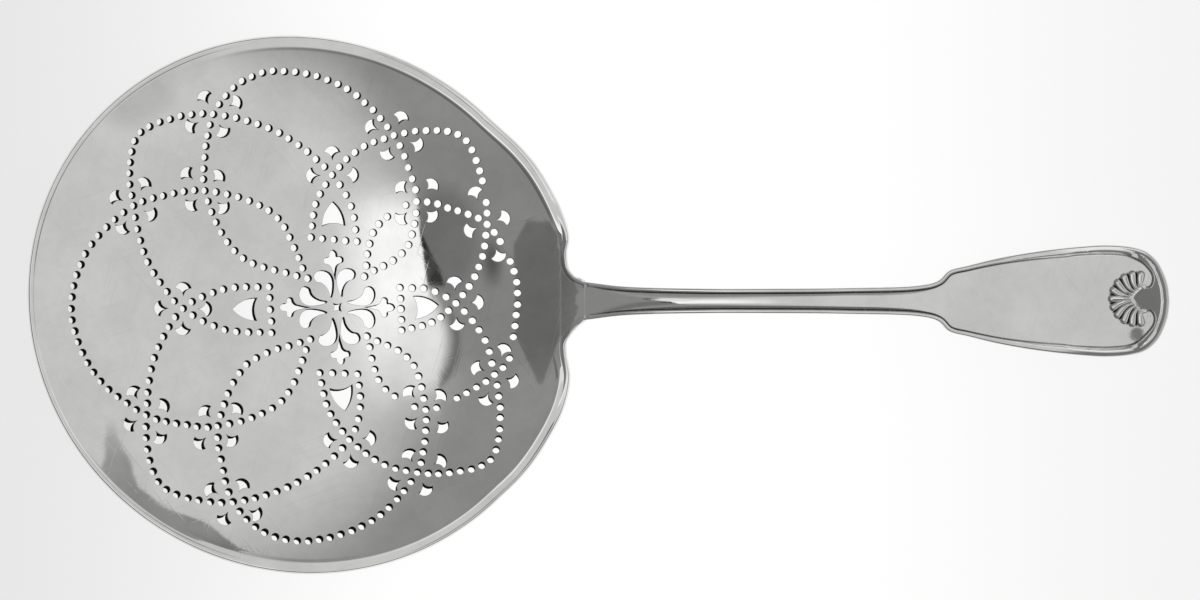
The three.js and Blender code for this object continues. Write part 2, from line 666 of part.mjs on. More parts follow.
// The tongue under the neck: flat on top, thinning to its round end
function tongue() {
  const intoStem = 2;
  const outline = tongueOutline(lapLength + seam + intoStem, 0, 10);
  const depth = (along) => tongueThickness * mix(0.45, 0.92, smooth(along, 0, 0.8 * lapLength));
  const ring = (narrowing, share) => outline.map((p) => {
    const along = mix(Math.max(p.x, tongueWidth / 4), p.x, narrowing);
    return onLap(along, p.y * narrowing, -solderFilm - share * depth(p.x));
  });
  return lofted([ring(0.75, 1), ring(1, 0.5), ring(1, 0)]);
}

function solderLayer() {
  const outline = tongueOutline(lapLength, 0, 10);
  const ring = (height) => outline.map((p) => onLap(p.x, p.y, height));
  return lofted([ring(-solderFilm), ring(0)]);
}

// Shell: flutes fan out from a hinge near the tip and curl outward, the outermost most of all.
// Stations along a flute: [share of its length, share of its width, share of its height]
const fluteStations = [[0, 0.25, 0.15], [0.4, 0.55, 0.7], [0.72, 0.95, 1], [0.92, 0.85, 0.8], [1, 0.4, 0.3]];
const shellRoot = 0.4; // how far the flutes reach down into the terminal

function flute(turn) {
  const side = Math.sin(turn);
  const ahead = Math.cos(turn);
  const hinge = vec(handleLength - shellHinge, 0);
  const length = shellReach * (1 - 0.12 * Math.abs(side));
  const path = new THREE.QuadraticBezierCurve(
    vec(0.16 * Math.abs(side), 0.29 * side).multiplyScalar(shellReach).add(hinge),
    vec(-0.4 * ahead - 0.24, 0.36 * side).multiplyScalar(shellReach).add(hinge),
    vec(-ahead, side).multiplyScalar(length).add(hinge));
  const rings = fluteStations.map(([share, width, height]) => {
    const foot = path.getPoint(share);
    const way = path.getTangent(share);
    const across = vec(-way.y, way.x).multiplyScalar(width * fluteWidth / 2);
    const root = -fieldDepth - shellRoot;
    const crest = -fieldDepth + height * fluteHeight;
    const flank = mix(-fieldDepth, crest, 0.6);
    const section = [[1, root], [0.75, flank], [0, crest], [-0.75, flank], [-1, root]];
    return section.map(([aside, level]) => {
      const plan = foot.clone().addScaledVector(across, aside);
      return onHandle(plan.x, plan.y, level);
    });
  });
  return lofted(rings);
}

const scrollSteps = 11;

// The smooth ground between the two scrolls, from the nose where the flutes meet to the border round the tip
function keystone() {
  const side = curveThrough(scroll.map(([fromTip, aside]) => vec(handleLength - fromTip, aside)));
  const half = samplesOf(side, scrollSteps);
  const outline = [...half.map((p) => vec(p.x, -p.y)), ...half.reverse()];
  const ring = (height) => outline.map((p) => onHandle(p.x, p.y, height));
  return lofted([ring(-fieldDepth - shellRoot), ring(-beadHeight / 5)]);
}

function asManifold(geometry) {
  const vertProperties = geometry.attributes.position.array;
  const triVerts = new Uint32Array(geometry.index.array);
  return new wasm.Manifold(new wasm.Mesh({ numProp: 3, vertProperties, triVerts }));
}

function joined(geometries) {
  const mesh = geometries.map(asManifold).reduce((sum, next) => sum.add(next)).getMesh();
  return solidFrom(mesh.vertProperties, [...mesh.triVerts]);
}

const fanAngle = 96; // of the outermost flutes from the handle's line, in degrees

function handle() {
  const flutes = Array.from({ length: fluteCount }, (_, i) =>
    flute(radians(mix(-fanAngle, fanAngle, i / (fluteCount - 1)))));
  return joined([handleBody(), tongue(), keystone(), ...flutes]);
}

const silver = new THREE.MeshStandardMaterial({ color: 0xc9c8c4, roughness: 0.22, metalness: 1 });
const brazing = new THREE.MeshStandardMaterial({ color: 0xb9b29f, roughness: 0.4, metalness: 1 });

const server = new THREE.Group();
const pieces = [
  ['pierced_bowl', piercedBowl(), silver],
  ['handle', handle(), silver],
  ['solder_layer', solderLayer(), brazing],
];
for (const [name, geometry, material] of pieces) {
  const piece = new THREE.Mesh(geometry, material);
  piece.name = name;
  server.add(piece);
}
const size = new THREE.Box3().setFromObject(server);
server.position.set(-(size.min.x + size.max.x) / 2, -(size.min.y + size.max.y) / 2, -size.min.z);

export default server;
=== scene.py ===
import math
from functools import reduce
import bpy
import numpy as np
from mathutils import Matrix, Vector
from mathutils.geometry import delaunay_2d_cdt


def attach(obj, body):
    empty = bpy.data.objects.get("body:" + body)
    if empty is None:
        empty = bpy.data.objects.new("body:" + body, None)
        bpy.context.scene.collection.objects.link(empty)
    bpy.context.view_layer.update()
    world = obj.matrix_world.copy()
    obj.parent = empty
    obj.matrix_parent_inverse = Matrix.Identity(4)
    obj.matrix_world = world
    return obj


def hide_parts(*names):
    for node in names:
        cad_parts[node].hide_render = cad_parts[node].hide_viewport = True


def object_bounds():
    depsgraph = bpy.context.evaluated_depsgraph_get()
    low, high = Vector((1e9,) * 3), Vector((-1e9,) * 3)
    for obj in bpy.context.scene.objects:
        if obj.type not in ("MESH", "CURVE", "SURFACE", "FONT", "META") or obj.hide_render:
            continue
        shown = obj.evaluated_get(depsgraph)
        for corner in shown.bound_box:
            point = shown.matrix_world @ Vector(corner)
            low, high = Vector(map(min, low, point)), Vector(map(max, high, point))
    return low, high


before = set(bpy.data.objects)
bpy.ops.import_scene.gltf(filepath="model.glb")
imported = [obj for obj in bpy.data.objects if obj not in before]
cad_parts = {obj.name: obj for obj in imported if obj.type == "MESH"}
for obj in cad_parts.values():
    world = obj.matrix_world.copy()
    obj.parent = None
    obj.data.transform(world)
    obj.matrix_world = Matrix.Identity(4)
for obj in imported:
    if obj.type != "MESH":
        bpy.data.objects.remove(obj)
cadLow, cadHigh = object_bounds()
print("CAD model loaded")


# Plane geometry. Everything below is drawn in millimetres from the middle of the bowl's ellipse

def smooth(value, start, end):
    share = np.clip((value - start) / (end - start), 0, 1)
    return share * share * (3 - 2 * share)


def mix(first, second, share):
    return first + (second - first) * share


def toward(bearing, distance):
    return np.stack([np.cos(bearing) * distance, np.sin(bearing) * distance], -1)


def turned(points, bearing, shift=(0, 0)):
    c, s = math.cos(bearing), math.sin(bearing)
    return np.asarray(points) @ np.array([[c, s], [-s, c]]) + shift


def headingOf(vector):
    return math.atan2(vector[1], vector[0])


def unit(vectors):
    return vectors / np.maximum(np.linalg.norm(vectors, axis=1), 1e-9)[:, None]


def curveThrough(points, perSpan):
    # Smooth line through every point, with perSpan samples from each to the next
    p = np.array(points, float)
    p = np.vstack([2 * p[0] - p[1], p, 2 * p[-1] - p[-2]])
    t = (np.arange(perSpan) / perSpan)[:, None]
    samples = []
    for a, b, c, d in zip(p, p[1:], p[2:], p[3:]):
        before, here, after = (np.linalg.norm(v) ** 0.5 for v in (b - a, c - b, d - c))
        leave = ((b - a) / before - (c - a) / (before + here) + (c - b) / here) * here
        arrive = ((c - b) / here - (d - b) / (here + after) + (d - c) / after) * here
        samples.append(b + leave * t + (3 * (c - b) - 2 * leave - arrive) * t ** 2
                       + (2 * (b - c) + leave + arrive) * t ** 3)
    return np.vstack([*samples, p[-2:-1]])


def arcTo(start, end, bulge, steps):
    # Round stretch that swells to the right of its way by bulge times its chord; its end is left out
    start, end = np.array(start, float), np.array(end, float)
    along = end - start
    right = np.array([along[1], -along[0]])
    share = (np.arange(steps) / steps)[:, None]
    half = 2 * math.atan(2 * bulge)
    if abs(half) < 1e-6:
        return start + along * share
    radius = 0.5 / math.sin(half)
    angle = mix(-half, half, share)
    swell = right * radius * (np.cos(angle) - math.cos(half))
    return (start + end) / 2 + along * radius * np.sin(angle) + swell


def ringOfArcs(corners):
    # corners: (x, y, bulge of the side that leaves it, steps)
    following = corners[1:] + corners[:1]
    return np.vstack([arcTo(a[:2], b[:2], a[2], a[3]) for a, b in zip(corners, following)])


def nearestOn(points, line):
    # Distance to the two sides of a fine line that meet at its nearest point, and the place counted in sides
    side = np.diff(line, axis=0)
    square = np.maximum((side ** 2).sum(-1), 1e-12)
    found = np.full((2, len(points)), np.inf)
    for k in range(0, len(points), 4000):
        batch = points[k:k + 4000]
        least, place = found[:, k:k + 4000]
        nearest = ((line ** 2).sum(-1) - 2 * batch @ line.T).argmin(1)
        for step in (-1, 0):
            i = np.clip(nearest + step, 0, len(side) - 1)
            gap = batch - line[i]
            share = np.clip((gap * side[i]).sum(-1) / square[i], 0, 1)
            distance = np.linalg.norm(gap - share[:, None] * side[i], axis=1)
            closer = distance < least
            least[closer] = distance[closer]
            place[closer] = (i + share)[closer]
    return found


def distanceTo(points, line):
    return nearestOn(points, line)[0]


def closed(ring):
    return np.vstack([ring, ring[:1]])


def inside(points, ring):
    x, y = points[:, 0], points[:, 1]
    odd = np.zeros(len(points), bool)
    for (ax, ay), (bx, by) in zip(ring, np.roll(ring, -1, axis=0)):
        if ay != by:
            spans = (ay > y) != (by > y)
            odd ^= spans & (x < ax + (y - ay) / (by - ay) * (bx - ax))
    return odd


def outwardOf(ring):
    # Unit normals to the right of an anticlockwise ring, longer at its corners
    ways = unit(np.diff(closed(ring), axis=0))
    sides = np.stack([ways[:, 1], -ways[:, 0]], -1)
    both = unit(sides + np.roll(sides, 1, axis=0))
    return both / np.maximum((both * sides).sum(-1), 0.6)[:, None]


def hexGrid(low, high, pitch):
    rowGap = 0.87 * pitch  # about the height of an even triangle
    columns = np.arange(low[0], high[0], pitch)
    grid = []
    for number, row in enumerate(np.arange(low[1], high[1], rowGap)):
        shifted = columns + number % 2 * pitch / 2
        grid.append(np.stack([shifted, np.full(len(columns), row)], -1))
    return np.vstack(grid)


def evenly(line, pitch):
    # Points at even steps along a line, its two ends among them
    lengths = np.concatenate([[0], np.cumsum(np.linalg.norm(np.diff(line, axis=0), axis=1))])
    targets = np.linspace(0, lengths[-1], max(1, round(lengths[-1] / pitch)) + 1)
    return np.stack([np.interp(targets, lengths, line[:, k]) for k in (0, 1)], -1)


def thinned(points, least):
    kept = np.unique(np.round(points / least).astype(int), axis=0, return_index=True)[1]
    return points[np.sort(kept)]


def clearOf(points, rings, least=0.3, widest=5):
    # The points that lie outside every ring, none of them nearer to it than the least
    free = np.ones(len(points), bool)
    for ring in rings:
        asked = np.flatnonzero(np.abs(points - ring.mean(0)).max(1) < widest)
        if len(asked):
            away = distanceTo(points[asked], closed(ring)) > least
            free[asked] &= away & ~inside(points[asked], ring)
    return points[free]


def wellInside(points, ring, least):
    return points[inside(points, ring) & (distanceTo(points, closed(ring)) > least)]


def triangulated(rings, loose):
    # Triangles over the first ring less the other rings, through the loose points
    coords = np.vstack([*rings, loose])
    owner = np.full(len(coords), -1)
    edges = []
    start = 0
    for number, ring in enumerate(rings):
        count = len(ring)
        owner[start:start + count] = number
        edges += [(start + i, start + (i + 1) % count) for i in range(count)]
        start += count
    made = delaunay_2d_cdt([Vector(p) for p in coords], edges, [], 0, 1e-7, True)
    source = [ids[0] if ids else -1 for ids in made[3]]
    faces = np.array([[source[i] for i in face] for face in made[2]])
    faces = faces[(faces >= 0).all(1)]
    owners = owner[faces]
    same = (owners[:, 0] >= 0) & (owners == owners[:, :1]).all(1)
    centres = coords[faces].mean(1)
    keep = ~same
    for number in np.unique(owners[same][:, 0]):
        asked = np.flatnonzero(same & (owners[:, 0] == number))
        within = inside(centres[asked], rings[number])
        keep[asked] = within if number == 0 else ~within
    return coords, faces[keep]


# Meshes: a skin gathers points, their normals, a share of tarnish and painted shade, and faces

def objectOf(name, data):
    made = bpy.data.objects.new(name, data)
    bpy.context.scene.collection.objects.link(made)
    return made


class Skin:
    def __init__(self):
        self.points, self.normals, self.tarnish, self.faces = [], [], [], []
        self.count = 0

    def add(self, points, normals, tarnish=0.0):
        first = self.count
        self.points.append(points)
        self.normals.append(normals)
        self.tarnish.append(np.broadcast_to(np.asarray(tarnish, float), len(points)))
        self.count += len(points)
        return first

    def strip(self, first, second, count):
        i = np.arange(count)
        j = (i + 1) % count
        self.faces.append(np.stack([first + i, first + j, second + j, second + i], -1))

    def ring(self, previous, points, normals, tarnish=0.0):
        # Adds a ring of points and joins it to the ring before, if there is one
        here = self.add(points, normals, tarnish)
        if previous is not None:
            self.strip(previous, here, len(points))
        return here

    def build(self, name, shift):
        points = np.vstack(self.points)
        normals = unit(np.vstack(self.normals))
        faces = []
        for group in self.faces:
            corners = points[group]
            facing = np.cross(corners[:, 1] - corners[:, 0], corners[:, -1] - corners[:, 0])
            if group.shape[1] == 4:
                facing += np.cross(corners[:, 3] - corners[:, 2], corners[:, 1] - corners[:, 2])
            flat = np.linalg.norm(facing, axis=1) < 1e-9
            wrong = (facing * normals[group].sum(1)).sum(-1) < 0
            group = np.where(wrong[:, None], group[:, ::-1], group)
            faces += group[~flat].tolist()
        mesh = bpy.data.meshes.new(name)
        mesh.from_pydata((points + shift) / 1000, [], faces)
        mesh.attributes.new("tarnish", "FLOAT", "POINT").data.foreach_set(
            "value", np.concatenate(self.tarnish).astype(np.float32))
        mesh.shade_smooth()
        mesh.normals_split_custom_set_from_vertices(normals)
        return objectOf(name, mesh)


# Bowl: the same plan and the same formed surface as the CAD bowl, with a worked edge

bowl = {
    "longAxis": 113.3, "shortAxis": 108.3, "lean": -34,  # the rim's ellipse, leaning from the handle's line
    "handleLine": 0.8, "neckReach": 2.4, "neckWidth": 8,
    "deepest": (7.3, -0.5), "riseAtLip": 10.5, "riseAtSides": 11.8, "riseAtNeck": 12.4,
    "sheet": 1.2, "wornRadius": 9,
    "neckEase": 9, "neckSlopeDrop": 0.022, "slopeBlend": 25,
    # the turned-up edge: (distance in from the rim, slope added there), and where it begins and ends
    "turnedSlopes": [(0, -1.15), (0.3, -1.0), (0.6, -0.8), (1.0, -0.68), (1.4, -0.55), (1.7, -0.4),
                     (1.9, -0.22), (2.1, 0.08), (2.35, 0.14), (2.8, 0)],
    "turnedStart": -30, "turnedFull": 32,
    "shoulderStart": 10, "shoulderFull": 19,
    "land": 1, "landDrop": 0.07,  # flat filed round the rim
    "scribe": 0.03, "scribeWidth": 0.13,  # line at the flat's inner edge
    "edgeNarrowing": 7, "beadWidth": 0.95, "beadHeight": 0.4,
    "ellipseFrom": 45, "ellipseTo": 314,  # bearings between which the rim follows the ellipse
    "upperShoulder": [(12.9, 31), (8.8, 25.7), (4.7, 17.7), (3.5, 13), (3.9, 9.7), (3.5, 6.7), (2.2, 5)],
    "lowerShoulder": [(12.9, -35.6), (8.8, -30), (4.7, -22.2), (3.3, -15.8), (4, -10.6), (4, -8.6), (3, -6.8),
                      (1.4, -5)],
    "rimEdge": 0.35,  # radii that filing and polishing left on the rim and on the holes
    "holeEdge": 0.1,
    "sawLean": (-0.42, -0.2),  # how far the saw and the punch wandered on their way through the sheet
    "neckShadeStart": 53.42, "neckShadeEnd": 56.5, "neckShadeHalf": 9.5, "neckShadeTaper": 2.1,  # painted shade that darkens the neck's colour where it mirrors a dark part of the room
    "neckShade": 0.36,
    "pitch": 1.25, "underPitch": 2.4, "neckPitch": 0.45,
    "edgeRows": (0.45, 0.6, 0.8, 0.9, 1, 1.1, 1.25, 1.4, 1.5, 1.6, 1.7, 1.8, 1.9, 2, 2.2, 2.5, 2.8, 3.2, 3.6,
                 4.2, 5),  # distances in from the rim at which the mesh has a row of points
}
middle = np.array(bowl["deepest"])


def ellipseRadius(bearing):
    angle = bearing - math.radians(bowl["lean"])
    return bowl["longAxis"] * bowl["shortAxis"] / 2 / np.hypot(
        bowl["shortAxis"] * np.cos(angle), bowl["longAxis"] * np.sin(angle))


neckEnd = float(ellipseRadius(0)) + bowl["neckReach"]


def rimLine():
    bearings = np.radians(np.linspace(bowl["ellipseFrom"], bowl["ellipseTo"], 420))
    arc = toward(bearings, ellipseRadius(bearings))
    half = bowl["neckWidth"] / 2

    def shoulder(points):
        return [(neckEnd - back, bowl["handleLine"] + aside) for back, aside in points]

    upper = [(neckEnd, bowl["handleLine"] + half), *shoulder(bowl["upperShoulder"])[::-1], arc[0]]
    lower = [arc[-1], *shoulder(bowl["lowerShoulder"]), (neckEnd, bowl["handleLine"] - half)]
    return np.vstack([curveThrough(upper, 11), arc[1:-1], curveThrough(lower, 11)])


rim = rimLine()
neckAcross = np.linspace(-0.93, 0.93, 15) * bowl["neckWidth"] / 2 + bowl["handleLine"]
blank = np.vstack([rim, np.stack([np.full(len(neckAcross), neckEnd), neckAcross], -1)])


def reach(bearing):
    near, far = 0, bowl["longAxis"]
    while far - near > 1e-5:
        half = (near + far) / 2
        point = toward(bearing, half) + middle
        if np.hypot(*point) < ellipseRadius(headingOf(point)):
            near = half
        else:
            far = half
    return near


neckRun = neckEnd - middle[0]
slopeLip = bowl["riseAtLip"] / reach(math.pi) ** 2
slopeNeck = bowl["riseAtNeck"] / neckRun ** 2
slopeSides = bowl["riseAtSides"] / (bowl["shortAxis"] / 2) ** 2
wear = (slopeLip + slopeNeck + 2 * slopeSides) / 4 * bowl["wornRadius"] ** 2


def dishHeight(x, y):
    along, across = x - middle[0], y - middle[1]
    slope = mix(slopeLip, slopeNeck, smooth(along, -bowl["slopeBlend"], bowl["slopeBlend"]))
    eased = np.maximum(0, x - (neckEnd - bowl["neckEase"]))
    return bowl["sheet"] - wear + slope * along ** 2 + slopeSides * across ** 2 \
        - bowl["neckSlopeDrop"] / 2 * eased ** 2


turnedAt = np.linspace(0, bowl["turnedSlopes"][-1][0], 171)
turnedSlope = np.interp(turnedAt, *zip(*bowl["turnedSlopes"]))
turnedHeight = np.cumsum(turnedSlope[::-1])[::-1] * (turnedAt[1] - turnedAt[0])


def fromRim(points):
    # Distance to the rim, measured only for the points near it
    reachOut = np.linalg.norm(points, axis=1)
    near = (reachOut > ellipseRadius(np.arctan2(points[:, 1], points[:, 0])) - 8) | (points[:, 0] > 40)
    found = np.full(len(points), 99.0)
    found[near] = distanceTo(points[near], rim)
    return found


def bowlHeight(points):
    x, y = points[:, 0], points[:, 1]
    d = fromRim(points)
    narrowing = smooth(x, neckEnd - bowl["edgeNarrowing"], neckEnd)
    rise = smooth(x, bowl["turnedStart"], bowl["turnedFull"]) \
        * smooth(np.abs(y - bowl["handleLine"]), bowl["shoulderStart"], bowl["shoulderFull"])
    lip = rise * np.interp(d, turnedAt, turnedHeight)
    land = -bowl["landDrop"] * np.maximum(0, 1 - d / bowl["land"]) ** 1.5
    land -= bowl["scribe"] * np.exp(-((d - bowl["land"]) / bowl["scribeWidth"]) ** 2)
    land *= 1 - smooth(rise, 0, 0.6)
    half = bowl["beadWidth"] / 2
    bead = bowl["beadHeight"] * np.sqrt(np.maximum(0, 1 - ((d - half) / half) ** 2))
    return dishHeight(x, y) + mix(lip + land, bead, narrowing)


def bowlSurface(points, step=0.02):
    dx, dy = np.array([step, 0]), np.array([0, step])
    slopeX = (bowlHeight(points + dx) - bowlHeight(points - dx)) / (2 * step)
    slopeY = (bowlHeight(points + dy) - bowlHeight(points - dy)) / (2 * step)
    normals = unit(np.stack([-slopeX, -slopeY, np.ones(len(points))], -1))
    return np.column_stack([points, bowlHeight(points)]), normals


# Piercing: crossings given as (bearing from the handle in degrees, share of the reach)

piercing = {
    "border": 6, "dotWidth": 1.5, "dotPitch": 2.3, "leastBridge": 0.24,
    "handLaid": 0.07,  # how far a drilled dot wanders from its place
    "archTip": [(2, 0.575), (92, 0.555), (180.5, 0.555), (275.5, 0.57)],
    "archStart": [(340.5, 0.325), (73.5, 0.305), (163, 0.255), (255, 0.28)],
    "archEnd": [(17.5, 0.32), (110.5, 0.295), (201, 0.26), (287, 0.305)],
    "loopCrest": [(349, 0.855), (104.5, 0.98), (181, 0.955), (261.5, 0.99)],
    "loopStart": [(337, 0.81), (71.5, 0.81), (153.5, 0.815), (242, 0.89)],
    "loopEnd": [(29, 0.83), (122.5, 0.87), (209.5, 0.825), (296, 0.815)],
    "petalTip": [(53, 0.62), (138.5, 0.645), (225, 0.655), (311, 0.615)],
    "cornerCrest": [(53.5, 0.99), (139, 0.96), (225.5, 0.975), (315.5, 0.99)],
    "petalRoot": 8.5, "rootBearings": [49, 136, 230, 316],
    "bulges": {"petal": 0.2, "loopSide": 0.05, "loop": 0.14,
               "arch": 0.1, "cornerSide": 0.1, "corner": 0.085},
    "fanClear": 1.2, "fanOffset": 2.2, "shieldGap": 2.8,
    "fleurStart": 5.5, "fleurBearings": [0, 94.5, 180, 274],
    "archWithFan": 2,  # the other arches hold a shield where this one has a fan
}
fanRing = ringOfArcs([(-1.55, 0, -0.19, 7), (0.13, -1.6, 0.38, 12), (0.13, 1.6, -0.19, 7)])
shieldRing = ringOfArcs([(5, 0, 0.11, 10), (0, 2.35, -0.13, 8), (0, -2.35, 0.11, 10)])
starRing = ringOfArcs([(0.85, 0.85, -0.15, 5), (-0.85, 0.85, -0.15, 5), (-0.85, -0.85, -0.15, 5),
                       (0.85, -0.85, -0.15, 5)])
fleurRing = ringOfArcs([
    (0, 0, -0.03, 5), (2.3, -0.42, -0.2, 6), (3.62, -1.72, 0.42, 12), (4.86, -1.2, -0.2, 4),
    (5.08, -0.78, 0.2, 6), (6.35, 0, 0.2, 6), (5.08, 0.78, -0.2, 4), (4.86, 1.2, 0.42, 12),
    (3.62, 1.72, -0.2, 6), (2.3, 0.42, -0.03, 5)])
leafPoints = [(1.15, 2.1), (1.27, 2.35), (1.45, 3.36), (2.07, 4.6), (2.86, 5.3), (3.9, 5.66), (4.3, 6.7),
              (3.75, 7.5), (2.5, 7.8), (1.1, 7.25), (0.39, 6.0), (0.5, 3.7), (0.98, 2.2)]
leafRing = curveThrough([*leafPoints, leafPoints[0]], 4)[:-1]


def placed(name):
    found = []
    for degrees, share in piercing[name]:
        bearing = math.radians(degrees)
        found.append(toward(bearing, share * (reach(bearing) - piercing["border"])) + middle)
    return found


cross = {name: placed(name) for name in
         ("archTip", "archStart", "archEnd", "loopStart", "loopEnd", "petalTip", "loopCrest", "cornerCrest")}
cross["root"] = [toward(math.radians(b), piercing["petalRoot"]) + middle for b in piercing["rootBearings"]]


def strand(stops, bulges):
    points = [stops[0]]
    for a, b, name in zip(stops, stops[1:], bulges):
        chord = b - a
        points += [(a + b) / 2 + np.array([chord[1], -chord[0]]) * piercing["bulges"][name], b]
    return curveThrough(points, 8)


def strands():
    made = []
    for i in range(4):
        after, before = (i + 1) % 4, (i + 3) % 4
        made.append(strand(
            [cross["root"][before], cross["petalTip"][before], cross["loopStart"][i], cross["loopCrest"][i],
             cross["loopEnd"][i], cross["petalTip"][i], cross["root"][i]],
            ["petal", "loopSide", "loop", "loop", "loopSide", "petal"]))
        made.append(strand(
            [cross["archStart"][i], cross["archTip"][i], cross["loopEnd"][i], cross["cornerCrest"][i],
             cross["loopStart"][after], cross["archTip"][after], cross["archEnd"][after]],
            ["arch", "cornerSide", "corner", "corner", "cornerSide", "arch"]))
    return made


def layout():
    # Every hole as an anticlockwise ring: the motif in the middle, the shields, the fans, then the dots
    holes = [starRing + middle]
    for degrees in piercing["fleurBearings"]:
        bearing = math.radians(degrees)
        holes.append(turned(fleurRing, bearing, toward(bearing, piercing["fleurStart"]) + middle))
        holes.append(turned(leafRing, bearing - math.pi / 2, middle))
        holes.append(turned((leafRing * (-1, 1))[::-1], bearing - math.pi / 2, middle))
    for start, end, tip in zip(cross["archStart"], cross["archEnd"], cross["archTip"]):
        foot = (start + end) / 2
        way = (tip - foot) / np.linalg.norm(tip - foot)
        holes.append(turned(shieldRing, headingOf(way), foot + way * piercing["shieldGap"]))
    names = ("archTip", "archStart", "archEnd", "loopStart", "loopEnd", "petalTip", "root")
    knots = [p for name in names for p in cross[name]]
    ways = [[] for _ in knots]
    dots = list(knots)
    spans = 16  # samples of a strand from one crossing to the next
    for line in strands():
        for start, end in ((0, 1), (1, 2), (2, 4), (4, 5), (5, 6)):
            run = line[start * spans:end * spans + 1]
            dots += list(evenly(run, piercing["dotPitch"])[1:-1])
            for tip, beside in ((run[0], run[1]), (run[-1], run[-2])):
                number = int(np.argmin([np.hypot(*(k - tip)) for k in knots]))
                way = (beside - tip) / np.linalg.norm(beside - tip)
                if all(abs(way @ other) < 0.97 for other in ways[number]):
                    ways[number].append(way)
    for start, end in zip(cross["archStart"], cross["archEnd"]):
        dots += list(evenly(np.array([start, end]), piercing["dotPitch"])[1:-1])
    for name in ("loopStart", "loopEnd", "petalTip", "archTip"):
        for i in range(4):
            knot = 4 * names.index(name) + i
            hasShield = name == "archTip" and i != piercing["archWithFan"]
            holes += fansAt(knots[knot], ways[knot], hasShield)
    return holes, dots


def fansAt(where, ways, hasShield):
    found = []
    for a, b in ((1, 1), (1, -1), (-1, -1), (-1, 1)):
        first, second = ways[0] * a, ways[1] * b
        way = first + second
        way /= np.linalg.norm(way)
        halfAngle = math.atan2(abs(first[0] * second[1] - first[1] * second[0]), first @ second) / 2
        inward = (middle - where) / np.linalg.norm(middle - where)
        if hasShield and way @ inward > 0.8:
            continue
        distance = piercing["fanClear"] + piercing["fanOffset"] / math.sin(halfAngle)
        found.append(turned(fanRing, headingOf(way), where + way * distance))
    return found


def allHoles():
    holes, dots = layout()
    chance = np.random.default_rng(7)
    around = np.arange(16) * math.tau / 16
    circle = toward(around, piercing["dotWidth"] / 2)
    for dot in dots:
        ring = circle * chance.uniform(0.96, 1.04) + dot + chance.uniform(-1, 1, 2) * piercing["handLaid"]
        near = [h for h in holes if np.hypot(*(h.mean(0) - dot)) < 6]
        gaps = [min(distanceTo(ring, closed(h)).min(), distanceTo(h, closed(ring)).min()) for h in near]
        covered = any(inside(dot[None], h)[0] for h in near)
        if not covered and min(gaps, default=9) > piercing["leastBridge"]:
            holes.append(ring)
    return holes


def edgeTurns(steps):
    # (share of the radius in from the edge, turn of the normal) over a sheet's edge, from top to underside
    over = [(1 - math.sin(a), a) for a in np.linspace(0, math.pi / 2, steps + 1)]
    return over + [(inset, math.pi - a) for inset, a in reversed(over)]


# Painted shade: a ragged darker patch over the neck, carried by the tarnish channel
def neckPaintedShade(x, y):
    start, end, half = bowl["neckShadeStart"], bowl["neckShadeEnd"], bowl["neckShadeHalf"]
    ragged = x + 0.25 * np.sin(1.7 * y) + 0.15 * np.sin(4.1 * y)
    narrowed = np.abs(y - bowl["handleLine"]) + bowl["neckShadeTaper"] * (x - start)
    share = smooth(x, start - 0.15, start + 0.15) * smooth(narrowed, half + 0.3, half - 0.3) \
        * smooth(ragged, end + 0.3, end - 0.3)
    return bowl["neckShade"] * share


